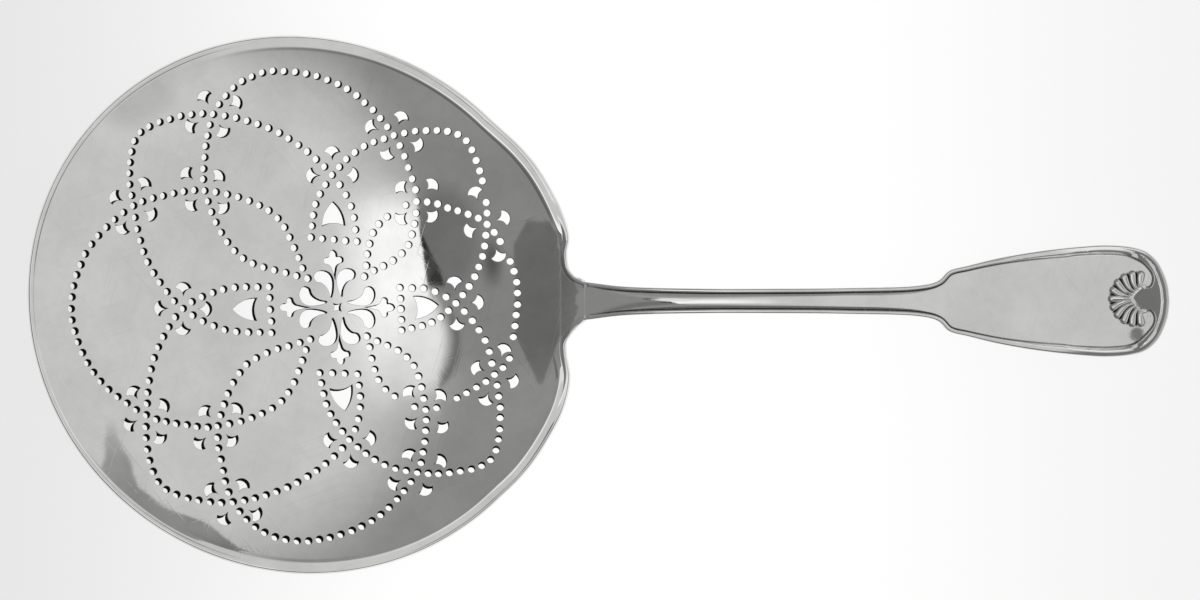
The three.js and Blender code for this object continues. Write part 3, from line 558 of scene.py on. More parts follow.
def buildBowl():
    thickness = bowl["sheet"]
    holes = allHoles()
    print("piercing laid out,", len(holes), "holes")
    rimRadius = bowl["rimEdge"] * np.clip((neckEnd - blank[:, 0]) / 4, 0.02, 1)
    edges = [(blank, outwardOf(blank), rimRadius, 6, 0.0)]  # ring, way out of it, radii, steps, tarnish and painted shade
    for hole in holes:
        edges.append((hole, -outwardOf(hole), np.full(len(hole), bowl["holeEdge"]), 2, 1.0))
    skin = Skin()
    topRings = [ring - away * radius[:, None] for ring, away, radius, _, _ in edges]
    rows = [blank - outwardOf(blank) * d for d in bowl["edgeRows"]]
    rowPoints = np.vstack([row[row[:, 0] < neckEnd - 0.4] for row in rows])
    neckGrid = hexGrid((neckEnd - 12, -8), (neckEnd - 0.2, 9), bowl["neckPitch"])
    plate = ((-58, -56), (neckEnd, 56))  # corners of the bowl's plan
    field = hexGrid(*plate, bowl["pitch"])
    field = field[fromRim(field) > bowl["edgeRows"][-1]]
    filling = np.vstack([wellInside(neckGrid, blank, 0.35), field])
    loose = np.vstack([thinned(rowPoints, 0.05), thinned(filling, 0.3)])
    coords, faces = triangulated(topRings, clearOf(loose[inside(loose, blank)], topRings[1:]))
    points, normals = bowlSurface(coords)
    # the top carries the painted shade at the neck
    top = skin.add(points, normals, neckPaintedShade(*coords.T))
    skin.faces.append(faces + top)
    coarse = hexGrid(*plate, bowl["underPitch"])
    coarse = clearOf(coarse[inside(coarse, blank) & (fromRim(coarse) > 1)], topRings[1:])
    lowRows = thinned(np.vstack([rows[10][::3], rows[16][::3]]), 0.8)
    lowRows = lowRows[inside(lowRows, blank)]
    coords, faces = triangulated(topRings, np.vstack([coarse, lowRows]))
    normals = bowlSurface(coords, 0.9)[1]
    points = bowlSurface(coords)[0] - normals * thickness
    points[len(blank):sum(map(len, topRings)), :2] += bowl["sawLean"]
    points[:, 2] = np.maximum(points[:, 2], 0)
    under = skin.add(points, -normals)
    skin.faces.append(faces + under)
    start = 0
    for ring, away, radius, steps, dark in edges:
        count = len(ring)
        previous = top + start
        for k, (inset, angle) in enumerate(edgeTurns(steps)[1:-1], 1):
            plan = ring - away * (inset * radius)[:, None]
            surface = bowlSurface(plan)[0]
            normal = bowlSurface(plan, 0.9)[1]
            if k <= steps:
                depth = radius * (1 - math.cos(angle))
            else:
                depth = thickness - radius * (1 + math.cos(angle))
            side = np.column_stack([unit(away), np.zeros(count)])
            side = unit(side - normal * (side * normal).sum(-1)[:, None])
            facing = normal * math.cos(angle) + side * math.sin(angle)
            place = surface - normal * depth[:, None]
            if dark:
                place[:, :2] += np.array(bowl["sawLean"]) * (depth / thickness)[:, None]
            place[:, 2] = np.maximum(place[:, 2], 0)
            # the holes' walls take tarnish and painted shade, darkest where they stand upright
            previous = skin.ring(previous, place, facing, dark * math.sin(angle))
        skin.strip(previous, under + start, count)
        start += count
    return skin


shift = np.array([1000 * cadHigh.x - (neckEnd + 120.7) + 0.16, 0.0025, 0])
bowlSkin = buildBowl()
bowlPiece = bowlSkin.build("bowl", shift)
print("bowl built,", len(bowlPiece.data.polygons), "faces")


# Handle: plan coordinates are (along the handle from the neck, aside from its line)

handle = {
    "length": 120.7, "stem": 69.3, "shoulder": 5.5, "stemWidth": 5.1, "terminalWidth": 23,
    "tipSlope": 0.42, "neckThickness": 3.3, "stemThickness": 3.8,
    "terminalThickness": 2.4, "tipThickness": 1.9,
    "bead": 0.95, "beadHeight": 0.4, "groove": 0.08, "crown": 0.33, "fieldDepth": 0.42,
    "border": 1.95, "crest": 1.0, "tipCrest": 1.5, "edgeDrop": 0.45, "wall": 0.14,
    "bandFrom": 1.98, "bandFull": 2.25,  # border widths over which the level band takes the slope's place
    "plainNeck": 5, "neckTaper": 22, "crownFade": 28, "bladeFade": 16,
    # outlines as (share of the part's length, share of its width)
    "stemShares": [(0.11, 1.2), (0.34, 1.01), (0.53, 1), (0.77, 1.06), (1, 1.29)],
    "shoulderShares": [(0.62, 0.37), (1, 0.54)],
    "terminalShares": [(0.185, 0.635), (0.32, 0.777), (0.48, 0.896), (0.64, 0.974), (0.745, 1),
                       (0.845, 0.965), (0.905, 0.88), (0.9504, 0.7), (0.9757, 0.496), (0.993, 0.265), (1, 0)],
    # the border's inner line at the tip, curling in to the shell's root
    "scroll": [(101, 9.35), (106, 9.6), (109.6, 9.5), (112.3, 9.1), (114.6, 8.1), (116.1, 6.8), (117, 5.4),
               (117.1, 4.1), (116.5, 2.95), (115.4, 2.7), (114.3, 2.0), (113.4, 1.2), (112.9, 0.4)],
    "lowerScroll": (0.35, 0.8),  # how far the lower scroll lies from the upper one's mirror image
    "nose": (114.4, 0.4), "noseRadius": 3.1,
    # the keystone and the band fall away to the tip from noseAt, where they stand this high
    "noseAt": 112.9, "noseHeight": 0.1, "bandSlope": 0.06,
    "scribe": 0.1, "scribeWidth": 0.13, "scribeShadeWidth": 0.16,  # line round the sunk field, and the width of the painted shade along it
    # a darker patch in the lower volute's sunk bay
    "blotch": (113.8, -6.9), "blotchRadius": 1.6, "blotchDarkening": 0.55,
}
length, stem = handle["length"], handle["stem"]
spine = np.array([[0, 0], [length - 0.46 * handle["terminalWidth"], 0]])


def handleHalf():
    half = handle["terminalWidth"] / 2
    stemPart = [(a * stem, w * handle["stemWidth"] / 2) for a, w in handle["stemShares"]]
    shoulder = [(stem + a * handle["shoulder"], w * half) for a, w in handle["shoulderShares"]]
    end = [(stem + a * (length - stem), w * half) for a, w in handle["terminalShares"]]
    return curveThrough([(0, bowl["neckWidth"] / 2), *stemPart, *shoulder, *end], 23)


upperHalf = evenly(handleHalf(), 0.36)
handleEdge = np.vstack([upperHalf * (1, -1), upperHalf[-2::-1]])


def widening(along):
    # From the stem's bead, 0, to the terminal's border, 1
    return smooth(along, stem + handle["shoulder"], length - handle["bladeFade"])


def borderWidth(along):
    return mix(handle["bead"], handle["border"], widening(along))


def innerLine():
    # Inner line of the bead and the border: an offset of the edge that ends in the scroll
    inward = unit(-outwardOf(np.vstack([upperHalf[::-1], upperHalf * (1, -1)]))[:len(upperHalf)][::-1])
    offset = upperHalf + inward * borderWidth(upperHalf[:, 0])[:, None]
    side = offset[(offset[:, 0] < handle["scroll"][0][0] - 2) & (offset[:, 1] > 0)]
    return evenly(np.vstack([side, curveThrough(handle["scroll"], 8)]), 0.3)


upperInner = innerLine()
lowered = smooth(np.maximum.accumulate(upperInner[:, 0]), 113, 116.5)[:, None] * handle["lowerScroll"]
inner = np.vstack([upperInner * (1, -1) + lowered, upperInner[-2::-1]])
innerRing = np.vstack([(-5, -bowl["neckWidth"] / 2 + 1), inner, (-5, bowl["neckWidth"] / 2 - 1)])

bowlSlope = 2 * slopeNeck * neckRun - bowl["neckSlopeDrop"] * bowl["neckEase"]
neckHeight = float(dishHeight(neckEnd, bowl["handleLine"])) + handle["beadHeight"] / math.hypot(1, bowlSlope)
tipHeight = handle["tipThickness"] / 2 * math.cos(math.atan(handle["tipSlope"]))
lineHeights = [neckHeight, neckHeight + bowlSlope * length / 3,
               tipHeight + handle["tipSlope"] * length / 3, tipHeight]


def handleLineAt(along):
    t = np.clip(along / length, 0, 1)
    a, b, c, d = lineHeights
    height = a * (1 - t) ** 3 + 3 * b * t * (1 - t) ** 2 + 3 * c * t ** 2 * (1 - t) + d * t ** 3
    slope = 3 * ((b - a) * (1 - t) ** 2 + 2 * (c - b) * t * (1 - t) + (d - c) * t ** 2) / length
    return height, slope


def onHandle(plan, level):
    height, slope = handleLineAt(plan[:, 0])
    size = np.hypot(1, slope)
    flush = handle["beadHeight"] * (1 - smooth(plan[:, 0], 0, handle["neckTaper"]))  # closes the seam
    return np.stack([neckEnd + plan[:, 0] - slope / size * (level + flush), bowl["handleLine"] + plan[:, 1],
                     height + level / size], -1)


shell = {
    "hinge": (113.6, 0.45), "count": 11, "radius": 4.98,
    "spread": 101,  # degrees to each side of the middle flute
    "rootAt": (115.2, 0.4), "rootDepth": 2.4, "rootAside": 2.1,
    "width": 1.5, "rootWidth": 0.16,  # the root's is a share of the width
    "height": 0.58, "fullness": 0.65, "reach": 6.5,  # reach: how far aside the flutes are looked for
}


def flutePaths():
    # Each flute leaves the nose along the handle and turns out to its place on the fan
    paths = []
    for place in np.linspace(1, -1, shell["count"]):
        side, share = math.copysign(1, place), abs(place)
        head = toward(math.radians(180 - shell["spread"] * place), shell["radius"]) + shell["hinge"]
        inward = -shell["rootDepth"] * (1 - share ** 1.5)
        root = np.array(shell["rootAt"]) + (inward, shell["rootAside"] * place)
        size = np.linalg.norm(head - root)
        leave = root + np.array([-1, 0.35 * place]) * 0.4 * size
        arrive = head - toward(math.radians(180 - 100 * side * share ** 0.6), 0.42 * size)
        t = np.linspace(0, 1, 40)[:, None]
        ends = root * (1 - t) ** 3 + head * t ** 3
        paths.append(evenly(ends + 3 * leave * t * (1 - t) ** 2 + 3 * arrive * t ** 2 * (1 - t), 0.12))
    return paths


fluteLines = flutePaths()


def flutes(plan):
    # Height of the shell over the field, and the painted shade between the flutes and round their heads
    level = np.full(len(plan), -1.0)
    valley = np.zeros(len(plan))
    along, aside = plan.T
    near = np.flatnonzero((along > length - 14) & (np.abs(aside - shell["hinge"][1]) < shell["reach"]))
    gaps = []
    shares = []
    for path in fluteLines:
        gap, place = nearestOn(plan[near], path)
        share = place / (len(path) - 1)
        half = shell["width"] / 2 * mix(shell["rootWidth"], 1, smooth(share, -0.2, 0.9))
        across = gap / half
        crest = mix(handle["fieldDepth"], shell["height"], smooth(share, 0, 0.5))
        rise = crest * np.maximum(0, 1 - across ** 2) ** shell["fullness"]
        level[near] = np.where(across < 1, np.maximum(level[near], rise), level[near])
        gaps.append(across)
        shares.append(share)
    gaps, shares = np.array(gaps), np.array(shares)
    order = np.argsort(gaps, axis=0)
    first = np.take_along_axis(gaps, order[:1], 0)[0]
    second = np.take_along_axis(gaps, order[1:2], 0)[0]
    share = np.take_along_axis(shares, order[:1], 0)[0]
    # painted shade: dark in the valleys between flutes and a dark outline round each head
    between = smooth(first, 0.62, 0.95) * smooth(second, 1.75, 1.35) * smooth(share, 0.02, 0.22)
    outline = 0.7 * np.exp(-((first - 1.05) / 0.16) ** 2) * smooth(share, 0.3, 0.6)
    valley[near] = np.maximum(between, outline)
    return level, valley


def borderLevel(along, edgeGap, lineGap, keystone):
    # A crest along the edge, and within it a slope down to the field, or round the tip a level band
    width = edgeGap + lineGap
    crest = mix(handle["crest"], handle["tipCrest"], smooth(along, length - 9, length - 1.5))
    outer = np.sqrt(np.maximum(0, 1 - (1 - np.minimum(1, edgeGap / crest)) ** 2))
    within = np.maximum(0, edgeGap - crest)
    share = np.clip(within / np.maximum(width - crest, 0.1), 0, 1)
    slope = -handle["fieldDepth"] * smooth(share, 0.15, 1)
    band = mix(-handle["fieldDepth"], keystone * smooth(within, 0, 0.4), smooth(lineGap, 0, handle["wall"]))
    banded = smooth(width, handle["bandFrom"], handle["bandFull"])
    return -handle["edgeDrop"] * (1 - outer) + mix(slope, band, banded)


def handleTop(plan):
    along = plan[:, 0]
    edgeGap = distanceTo(plan, handleEdge)
    lineGap = distanceTo(plan, inner)
    within = inside(plan, innerRing)
    spineGap = distanceTo(plan, spine)
    fromNeck = smooth(along, 0, handle["neckTaper"])
    grooved = smooth(along, 0, handle["plainNeck"])
    crowned = 1 - smooth(along, stem - 0.4 * handle["crownFade"], stem + 0.6 * handle["crownFade"])
    widened = widening(along)
    width = np.maximum(edgeGap + lineGap, 1e-6)
    share = edgeGap / width
    drop = handle["beadHeight"]
    bead = -drop * (1 - np.sqrt(np.maximum(0, 1 - (2 * share - 1) ** 2)))
    keystone = handle["noseHeight"] - handle["bandSlope"] * (along - handle["noseAt"])
    raised = mix(bead, borderLevel(along, edgeGap, lineGap, keystone), widened)
    body = np.maximum(0, lineGap - handle["groove"])
    rounded = body / np.maximum(body + spineGap, 1e-6)
    dome = -drop + (handle["crown"] + drop) * np.sqrt(np.maximum(0, 1 - (1 - rounded) ** 2))
    flat = -handle["fieldDepth"] - (drop - handle["fieldDepth"]) * (1 - smooth(lineGap, 0, 0.5))
    noseGap = np.linalg.norm(plan - handle["nose"], axis=1)
    nose = smooth(noseGap, handle["noseRadius"], handle["noseRadius"] - 0.8)
    flat = mix(flat, keystone - (keystone + handle["fieldDepth"]) * smooth(lineGap, 0.1, 2.2), nose)
    sunk = mix(-drop, mix(flat, dome, crowned), fromNeck)
    level = np.where(within, sunk, mix(raised, np.maximum(raised, keystone), nose))
    line = grooved * (1 - nose)
    level -= handle["scribe"] * line * np.exp(-(lineGap / handle["scribeWidth"]) ** 2)
    ridges, valley = flutes(plan)
    level = np.maximum(level, np.where(ridges > 0, ridges - handle["fieldDepth"], -9))
    strength = mix(1, mix(0.3, 0.85, smooth(along, length - 10, length - 7)), widened)
    # painted shade along the groove round the sunk field and between the flutes, weaker over the terminal
    dark = np.maximum(np.exp(-(lineGap / handle["scribeShadeWidth"]) ** 2) * line * strength, valley)
    blotch = np.linalg.norm(plan - handle["blotch"], axis=1) / handle["blotchRadius"]
    dark = np.maximum(dark, handle["blotchDarkening"] * within * smooth(blotch, 1.15, 0.6))
    return level, dark


def handleUnder(plan):
    along = plan[:, 0]
    spineGap = distanceTo(plan, spine)
    edgeGap = distanceTo(plan, handleEdge)
    terminal = smooth(along, stem - 0.25 * handle["bladeFade"], stem + 0.75 * handle["bladeFade"])
    endwise = smooth(along, length - 1.5 * handle["bladeFade"], length - 0.5 * handle["bladeFade"])
    stemPart = mix(handle["neckThickness"], handle["stemThickness"], smooth(along, 0, handle["neckTaper"]))
    blade = mix(handle["terminalThickness"], handle["tipThickness"], endwise)
    share = edgeGap / np.maximum(edgeGap + spineGap, 1e-6)
    return -mix(stemPart, blade, terminal) * (1 - 0.5 * (1 - share) ** 4)


def surfaceNormals(plan, levelOf):
    step = 0.012
    ahead = [onHandle(plan + d, levelOf(plan + d)) - onHandle(plan - d, levelOf(plan - d))
             for d in (np.array([step, 0]), np.array([0, step]))]
    return unit(np.cross(*ahead))


handleMesh = {
    "borderRows": (0.05, 0.11, 0.2, 0.32, 0.45, 0.6, 0.75, 0.86, 0.94, 1),  # shares of the border's width
    "fieldRows": (0.05, 0.1, 0.18, 0.28, 0.45, 0.7),  # distances in from the border
    "lineRows": (-0.3, -0.18, -0.1, -0.05, 0, 0.05, 0.1, 0.18, 0.3),  # to both sides of its inner line
    "underRows": (0.15, 0.4, 0.8, 1.4), "wallRows": (0.08, 0.3, 0.6, 0.9),
    "arris": 0.015, "wallSwell": 0.9,
    "stemPitch": 0.42, "terminalPitch": 0.75, "shellPitch": 0.12, "underPitches": (0.8, 1.2),
}


def buildHandle():
    skin = Skin()
    neckPoints = np.linspace(0.92, -0.92, 13) * bowl["neckWidth"] / 2
    ring = np.vstack([handleEdge, np.stack([np.zeros(len(neckPoints)), neckPoints], -1)])
    count = len(ring)
    away = outwardOf(ring)
    away[len(handleEdge):] = (-1, 0)
    edgeAway = away[:len(handleEdge)]
    topRing = ring - away * handleMesh["arris"]
    widths = borderWidth(handleEdge[:, 0])[:, None]
    rows = [handleEdge - edgeAway * widths * share for share in handleMesh["borderRows"]]
    rows += [handleEdge - edgeAway * (widths + d) for d in handleMesh["fieldRows"]]
    innerAway = outwardOf(inner)
    rows += [inner + innerAway * d for d in handleMesh["lineRows"]]
    rows.append(hexGrid((0.2, -4), (stem + 4, 4), handleMesh["stemPitch"]))
    rows.append(hexGrid((stem - 2, -12), (length, 12), handleMesh["terminalPitch"]))
    shellRows = hexGrid((length - 13.2, -6.2), (length - 2.6, 6.6), handleMesh["shellPitch"])
    loose = thinned(np.vstack([thinned(np.vstack(rows), 0.045), shellRows]), 0.05)
    coords, faces = triangulated([topRing], wellInside(loose, topRing, 0.03))
    level, dark = handleTop(coords)
    top = skin.add(onHandle(coords, level), surfaceNormals(coords, lambda p: handleTop(p)[0]), dark)
    skin.faces.append(faces + top)
    stemPitch, terminalPitch = handleMesh["underPitches"]
    grid = [hexGrid((0, -12), (stem, 12), stemPitch), hexGrid((stem, -12), (length, 12), terminalPitch)]
    rows = [handleEdge - edgeAway * d for d in handleMesh["underRows"]]
    coarse = thinned(np.vstack([*rows, *grid]), 0.2)
    coords, faces = triangulated([topRing], wellInside(coarse, topRing, 0.05))
    under = skin.add(onHandle(coords, handleUnder(coords)), -surfaceNormals(coords, handleUnder))
    skin.faces.append(faces + under)
    topLevel, underLevel = handleTop(topRing)[0], handleUnder(topRing)
    way = np.column_stack([away, np.zeros(count)])
    previous = top
    for share in handleMesh["wallRows"]:
        place = onHandle(ring, mix(topLevel, underLevel, share))
        lift = np.array([0, 0, 1]) * (handleMesh["wallSwell"] * (0.5 - share))
        previous = skin.ring(previous, place, way + lift)
    skin.strip(previous, under, count)
    return skin


# The tongue under the neck, in the plane of the lap: (along it, aside, height over the filed seat)

lap = {
    "length": 10, "width": 6, "thickness": 1.7, "film": 0.2, "intoStem": 2.2, "endLength": 4.5,
    "turns": (0, 15, 32, 50, 68, 82, 90),  # degrees, over the tongue's round underside
    # the fillet's section: (out from the tongue, height over the seat, tilt of the surface)
    "fillet": [(0.42, 0, -0.9), (0.16, -0.1, -0.5), (0.06, -0.24, -0.2), (0, -0.42, 0)],
}


def underBowl(x, y):
    point, normal = bowlSurface(np.array([[x, y]]))
    return (point - normal * bowl["sheet"])[0]


lapFoot = underBowl(neckEnd - lap["length"], bowl["handleLine"])
lapHead = underBowl(neckEnd, bowl["handleLine"])
lapAngle = math.atan2(lapHead[2] - lapFoot[2], lapHead[0] - lapFoot[0])
lapLength = float(np.linalg.norm(lapHead - lapFoot))


def onLap(plan, level):
    c, s = math.cos(lapAngle), math.sin(lapAngle)
    return np.stack([lapFoot[0] + plan[:, 0] * c - level * s, bowl["handleLine"] + plan[:, 1],
                     lapFoot[2] + plan[:, 0] * s + level * c], -1)


def tongueRing(reachOut):
    half, endLength = lap["width"] / 2, lap["endLength"]
    angle = np.linspace(math.pi / 2, 1.5 * math.pi, 41)
    end = np.stack([endLength + endLength * np.cos(angle), half * np.sin(angle)], -1)
    sides = [np.stack([np.linspace(endLength, reachOut, 14)[1:], np.full(13, s * half)], -1) for s in (-1, 1)]
    return np.vstack([end, sides[0], sides[1][::-1]])


def fromMiddle(ring):
    # The tongue's middle line beside each point of a ring, and the way out from it
    centre = np.stack([np.clip(ring[:, 0], lap["endLength"], None), np.zeros(len(ring))], -1)
    return centre, unit(ring - centre)


def addTongue(skin):
    ring = tongueRing(lapLength + lap["intoStem"])
    count = len(ring)
    centre, away = fromMiddle(ring)
    previous = skin.add(onLap(ring, np.full(count, -lap["film"])), np.tile([0, 0, 1.0], (count, 1)))
    for turn in np.radians(lap["turns"]):
        narrowed = mix(centre, ring, 0.25 + 0.75 * math.cos(turn) if turn < 1.5 else 0.05)
        thinning = mix(0.45, 0.92, smooth(narrowed[:, 0], 0, 0.8 * lapLength))
        depth = lap["thickness"] * thinning * math.sin(turn)
        facing = np.column_stack([away * math.cos(turn), np.full(count, -math.sin(turn) - 0.07)])
        previous = skin.ring(previous, onLap(narrowed, -lap["film"] - depth), facing)
    fan = np.stack([np.full(count - 2, previous), previous + np.arange(1, count - 1),
                    previous + np.arange(2, count)], -1)
    skin.faces.append(fan)


handleSkin = buildHandle()
addTongue(handleSkin)
handlePiece = handleSkin.build("handle_body", shift)
print("handle built,", len(handlePiece.data.polygons), "faces")


# Solder: the fillet that ran out round the tongue under the neck

def buildSolder():
    skin = Skin()
    ring = tongueRing(lapLength)
    count = len(ring)
    away = fromMiddle(ring)[1]
    previous = None
    for outward, level, tilt in lap["fillet"]:
        place = onLap(ring + away * outward, np.full(count, level))
        previous = skin.ring(previous, place, np.column_stack([away, np.full(count, tilt)]))
    return skin


solderPiece = buildSolder().build("solder_fillet", shift)
print("solder built")


# Materials

def nodeIn(tree, kind, place=(0, 0), **settings):
    node = tree.nodes.new(kind)
    node.location = place
    for name, value in settings.items():
        setattr(node, name, value)
    return node


class Sums:
    # Writes sums as math nodes. What it takes are sockets or plain numbers, and what it returns are sockets
    def __init__(self, tree):
        self.tree = tree

    def math(self, operation, *values):
        node = self.tree.nodes.new("ShaderNodeMath")
        node.operation = operation
        for socket, value in zip(node.inputs, values):
            if isinstance(value, (int, float)):
                socket.default_value = value
            else:
                self.tree.links.new(value, socket)
        return node.outputs[0]

    def fade(self, value, start, end, low=0.0, high=1.0):
        node = self.tree.nodes.new("ShaderNodeMapRange")
        node.interpolation_type = "SMOOTHSTEP"
        if start > end:
            start, end, low, high = end, start, high, low
        for name, number in (("From Min", start), ("From Max", end), ("To Min", low), ("To Max", high)):
            node.inputs[name].default_value = number
        self.tree.links.new(value, node.inputs["Value"])
        return node.outputs[0]

    def noise(self, where, scale, detail):
        node = self.tree.nodes.new("ShaderNodeTexNoise")
        node.inputs["Scale"].default_value = scale
        node.inputs["Detail"].default_value = detail
        self.tree.links.new(where, node.inputs["Vector"])
        return node.outputs["Fac"]

    def plus(self, *values):
        return reduce(lambda total, value: self.math("ADD", total, value), values)

    def times(self, *values):
        return reduce(lambda product, value: self.math("MULTIPLY", product, value), values)

    def less(self, value, taken):
        return self.math("SUBTRACT", value, taken)

    def over(self, value, least):
        # By how much a value passes the least, and otherwise 0
        return self.math("MAXIMUM", self.less(value, least), 0.0)

    def mix(self, first, second, share):
        return self.plus(first, self.times(self.less(second, first), share))

    def within(self, *limits):
        # limits: (value, where it starts to count, where it counts in full)
        return self.times(*[self.fade(*limit) for limit in limits])

    def oval(self, across, along, centre, size, soft):
        # 1 inside an oval, fading to 0 over the soft share of its size
        x = self.math("DIVIDE", self.less(across, centre[0]), size[0])
        y = self.math("DIVIDE", self.less(along, centre[1]), size[1])
        gap = self.math("SQRT", self.plus(self.times(x, x), self.times(y, y)))
        return self.fade(gap, 1 + soft, 1 - soft)


finish = {
    "silver": (0.79, 0.79, 0.78), "polish": 0.03,
    # near-black for tarnish and painted shade in the holes, the creases and at the neck
    "tarnish": (0.02, 0.018, 0.016), "tarnishRoughness": 0.6,
    "tarnishFrom": 0.4, "tarnishFull": 0.8,  # shares of tarnish and painted shade over which the metal's shine goes
    "solder": (0.62, 0.6, 0.55), "solderRoughness": 0.35,
    "cloudScale": 70, "cloudShades": (0.94, 1.05), "grainScale": 520, "grainShades": (0.98, 1.02),
    "scratchTurns": (0.35, -0.9, 1.3), "scratchSize": (0.012, 0.0004, 0.012), "scratchShare": (0.7, 0.78),
    "scratchDepth": 0.035, "haze": 0.025,
    "bump": 0.04, "bumpHeight": 0.00002,
}


def wearGroup():
    # Cloudy polish and fine scratches: a shade for the colour, an addition to the roughness, and a height
    group = bpy.data.node_groups.new("handling wear", "ShaderNodeTree")
    for name in ("Scratches", "Haze"):
        group.interface.new_socket(name, in_out="INPUT", socket_type="NodeSocketFloat")
    for name in ("Shade", "Roughness", "Height"):
        group.interface.new_socket(name, in_out="OUTPUT", socket_type="NodeSocketFloat")
    given = nodeIn(group, "NodeGroupInput", (-900, -300))
    out = nodeIn(group, "NodeGroupOutput", (900, 0))
    place = nodeIn(group, "ShaderNodeTexCoord", (-900, 0)).outputs["Object"]
    sums = Sums(group)
    cloud = sums.noise(place, finish["cloudScale"], 3)
    grain = sums.noise(place, finish["grainScale"], 2)
    lines = []
    for angle in finish["scratchTurns"]:
        turn = nodeIn(group, "ShaderNodeMapping", vector_type="TEXTURE")
        turn.inputs["Rotation"].default_value = (0, 0, angle)
        turn.inputs["Scale"].default_value = finish["scratchSize"]
        group.links.new(place, turn.inputs["Vector"])
        lines.append(sums.fade(sums.noise(turn.outputs["Vector"], 1, 0), *finish["scratchShare"]))
    scratched = reduce(lambda most, line: sums.math("MAXIMUM", most, line), lines)
    shade = sums.times(sums.fade(cloud, 0.3, 0.7, *finish["cloudShades"]),
                       sums.fade(grain, 0.25, 0.75, *finish["grainShades"]),
                       sums.less(1.0, sums.times(scratched, given.outputs["Scratches"])))
    haze = sums.times(sums.fade(cloud, 0.35, 0.75), given.outputs["Haze"])
    for name, value in (("Shade", shade), ("Roughness", haze), ("Height", sums.less(grain, scratched))):
        group.links.new(value, out.inputs[name])
    return group


wear = wearGroup()


def wornMetal(name, color, roughness, tarnished):
    material = bpy.data.materials.new(name)
    material.use_nodes = True
    tree = material.node_tree
    shader = tree.nodes["Principled BSDF"]
    shader.inputs["Metallic"].default_value = 1
    worn = nodeIn(tree, "ShaderNodeGroup", (-900, 300), node_tree=wear)
    worn.inputs["Scratches"].default_value = finish["scratchDepth"]
    worn.inputs["Haze"].default_value = finish["haze"]
    shaded = nodeIn(tree, "ShaderNodeVectorMath", (-150, 200), operation="SCALE")
    shaded.inputs[0].default_value = color
    sums = Sums(tree)
    if tarnished:
        # tarnish and painted shade: the colour goes toward near-black, rougher and without a specular layer
        shader.inputs["Specular IOR Level"].default_value = 0
        mask = nodeIn(tree, "ShaderNodeAttribute", (-600, 0), attribute_name="tarnish").outputs["Fac"]
        tint = nodeIn(tree, "ShaderNodeMix", (-300, 0), data_type="RGBA")
        tint.inputs[6].default_value = (*color, 1)
        tint.inputs[7].default_value = (*finish["tarnish"], 1)
        metal = sums.fade(mask, finish["tarnishFrom"], finish["tarnishFull"], 1.0, 0.0)
        tree.links.new(mask, tint.inputs["Factor"])
        tree.links.new(tint.outputs[2], shaded.inputs[0])
        tree.links.new(metal, shader.inputs["Metallic"])
        roughness = sums.mix(roughness, finish["tarnishRoughness"], mask)
    tree.links.new(worn.outputs["Shade"], shaded.inputs["Scale"])
    tree.links.new(shaded.outputs[0], shader.inputs["Base Color"])
    tree.links.new(sums.plus(roughness, worn.outputs["Roughness"]), shader.inputs["Roughness"])
    bump = nodeIn(tree, "ShaderNodeBump", (-150, -300))
    bump.inputs["Strength"].default_value = finish["bump"]
    bump.inputs["Distance"].default_value = finish["bumpHeight"]
    tree.links.new(worn.outputs["Height"], bump.inputs["Height"])
    tree.links.new(bump.outputs[0], shader.inputs["Normal"])
    return material


silver = wornMetal("polished silver", finish["silver"], finish["polish"], True)
solder = wornMetal("silver solder", finish["solder"], finish["solderRoughness"], False)

for piece, material, node, slot in (
        (bowlPiece, silver, "pierced_bowl", "silver"), (handlePiece, silver, "handle", "silver"),
        (solderPiece, solder, "solder_layer", "silver_solder")):
    piece.data.materials.append(material)
    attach(piece, "root")
    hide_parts(node)
print("materials made")


# Studio: a pale table, one soft window over it, and a room for the silver to mirror

studio = {
    "tableSize": 8.0, "tableColor": (0.86, 0.86, 0.86), "tableDrop": 0.0004, "ownLight": 0.85,
    "glowLeft": 0.87, "glowMiddle": 1.12, "glowRight": 0.88, "glowFar": 0.93,
    "glowRise": (-0.13, -0.02), "glowFall": (0.03, 0.13), "glowOval": ((0.0, 0.0), (0.3, 0.3), 0.53),
    "windowSize": (0.22, 0.8), "windowPower": 0.5, "windowTilt": 14, "windowAt": -0.05,
    "height": 3.5, "pictureWidth": 1200, "pixel": 0.2054, "focus": 0.01, "aim": (0.0001, 0.001),
}


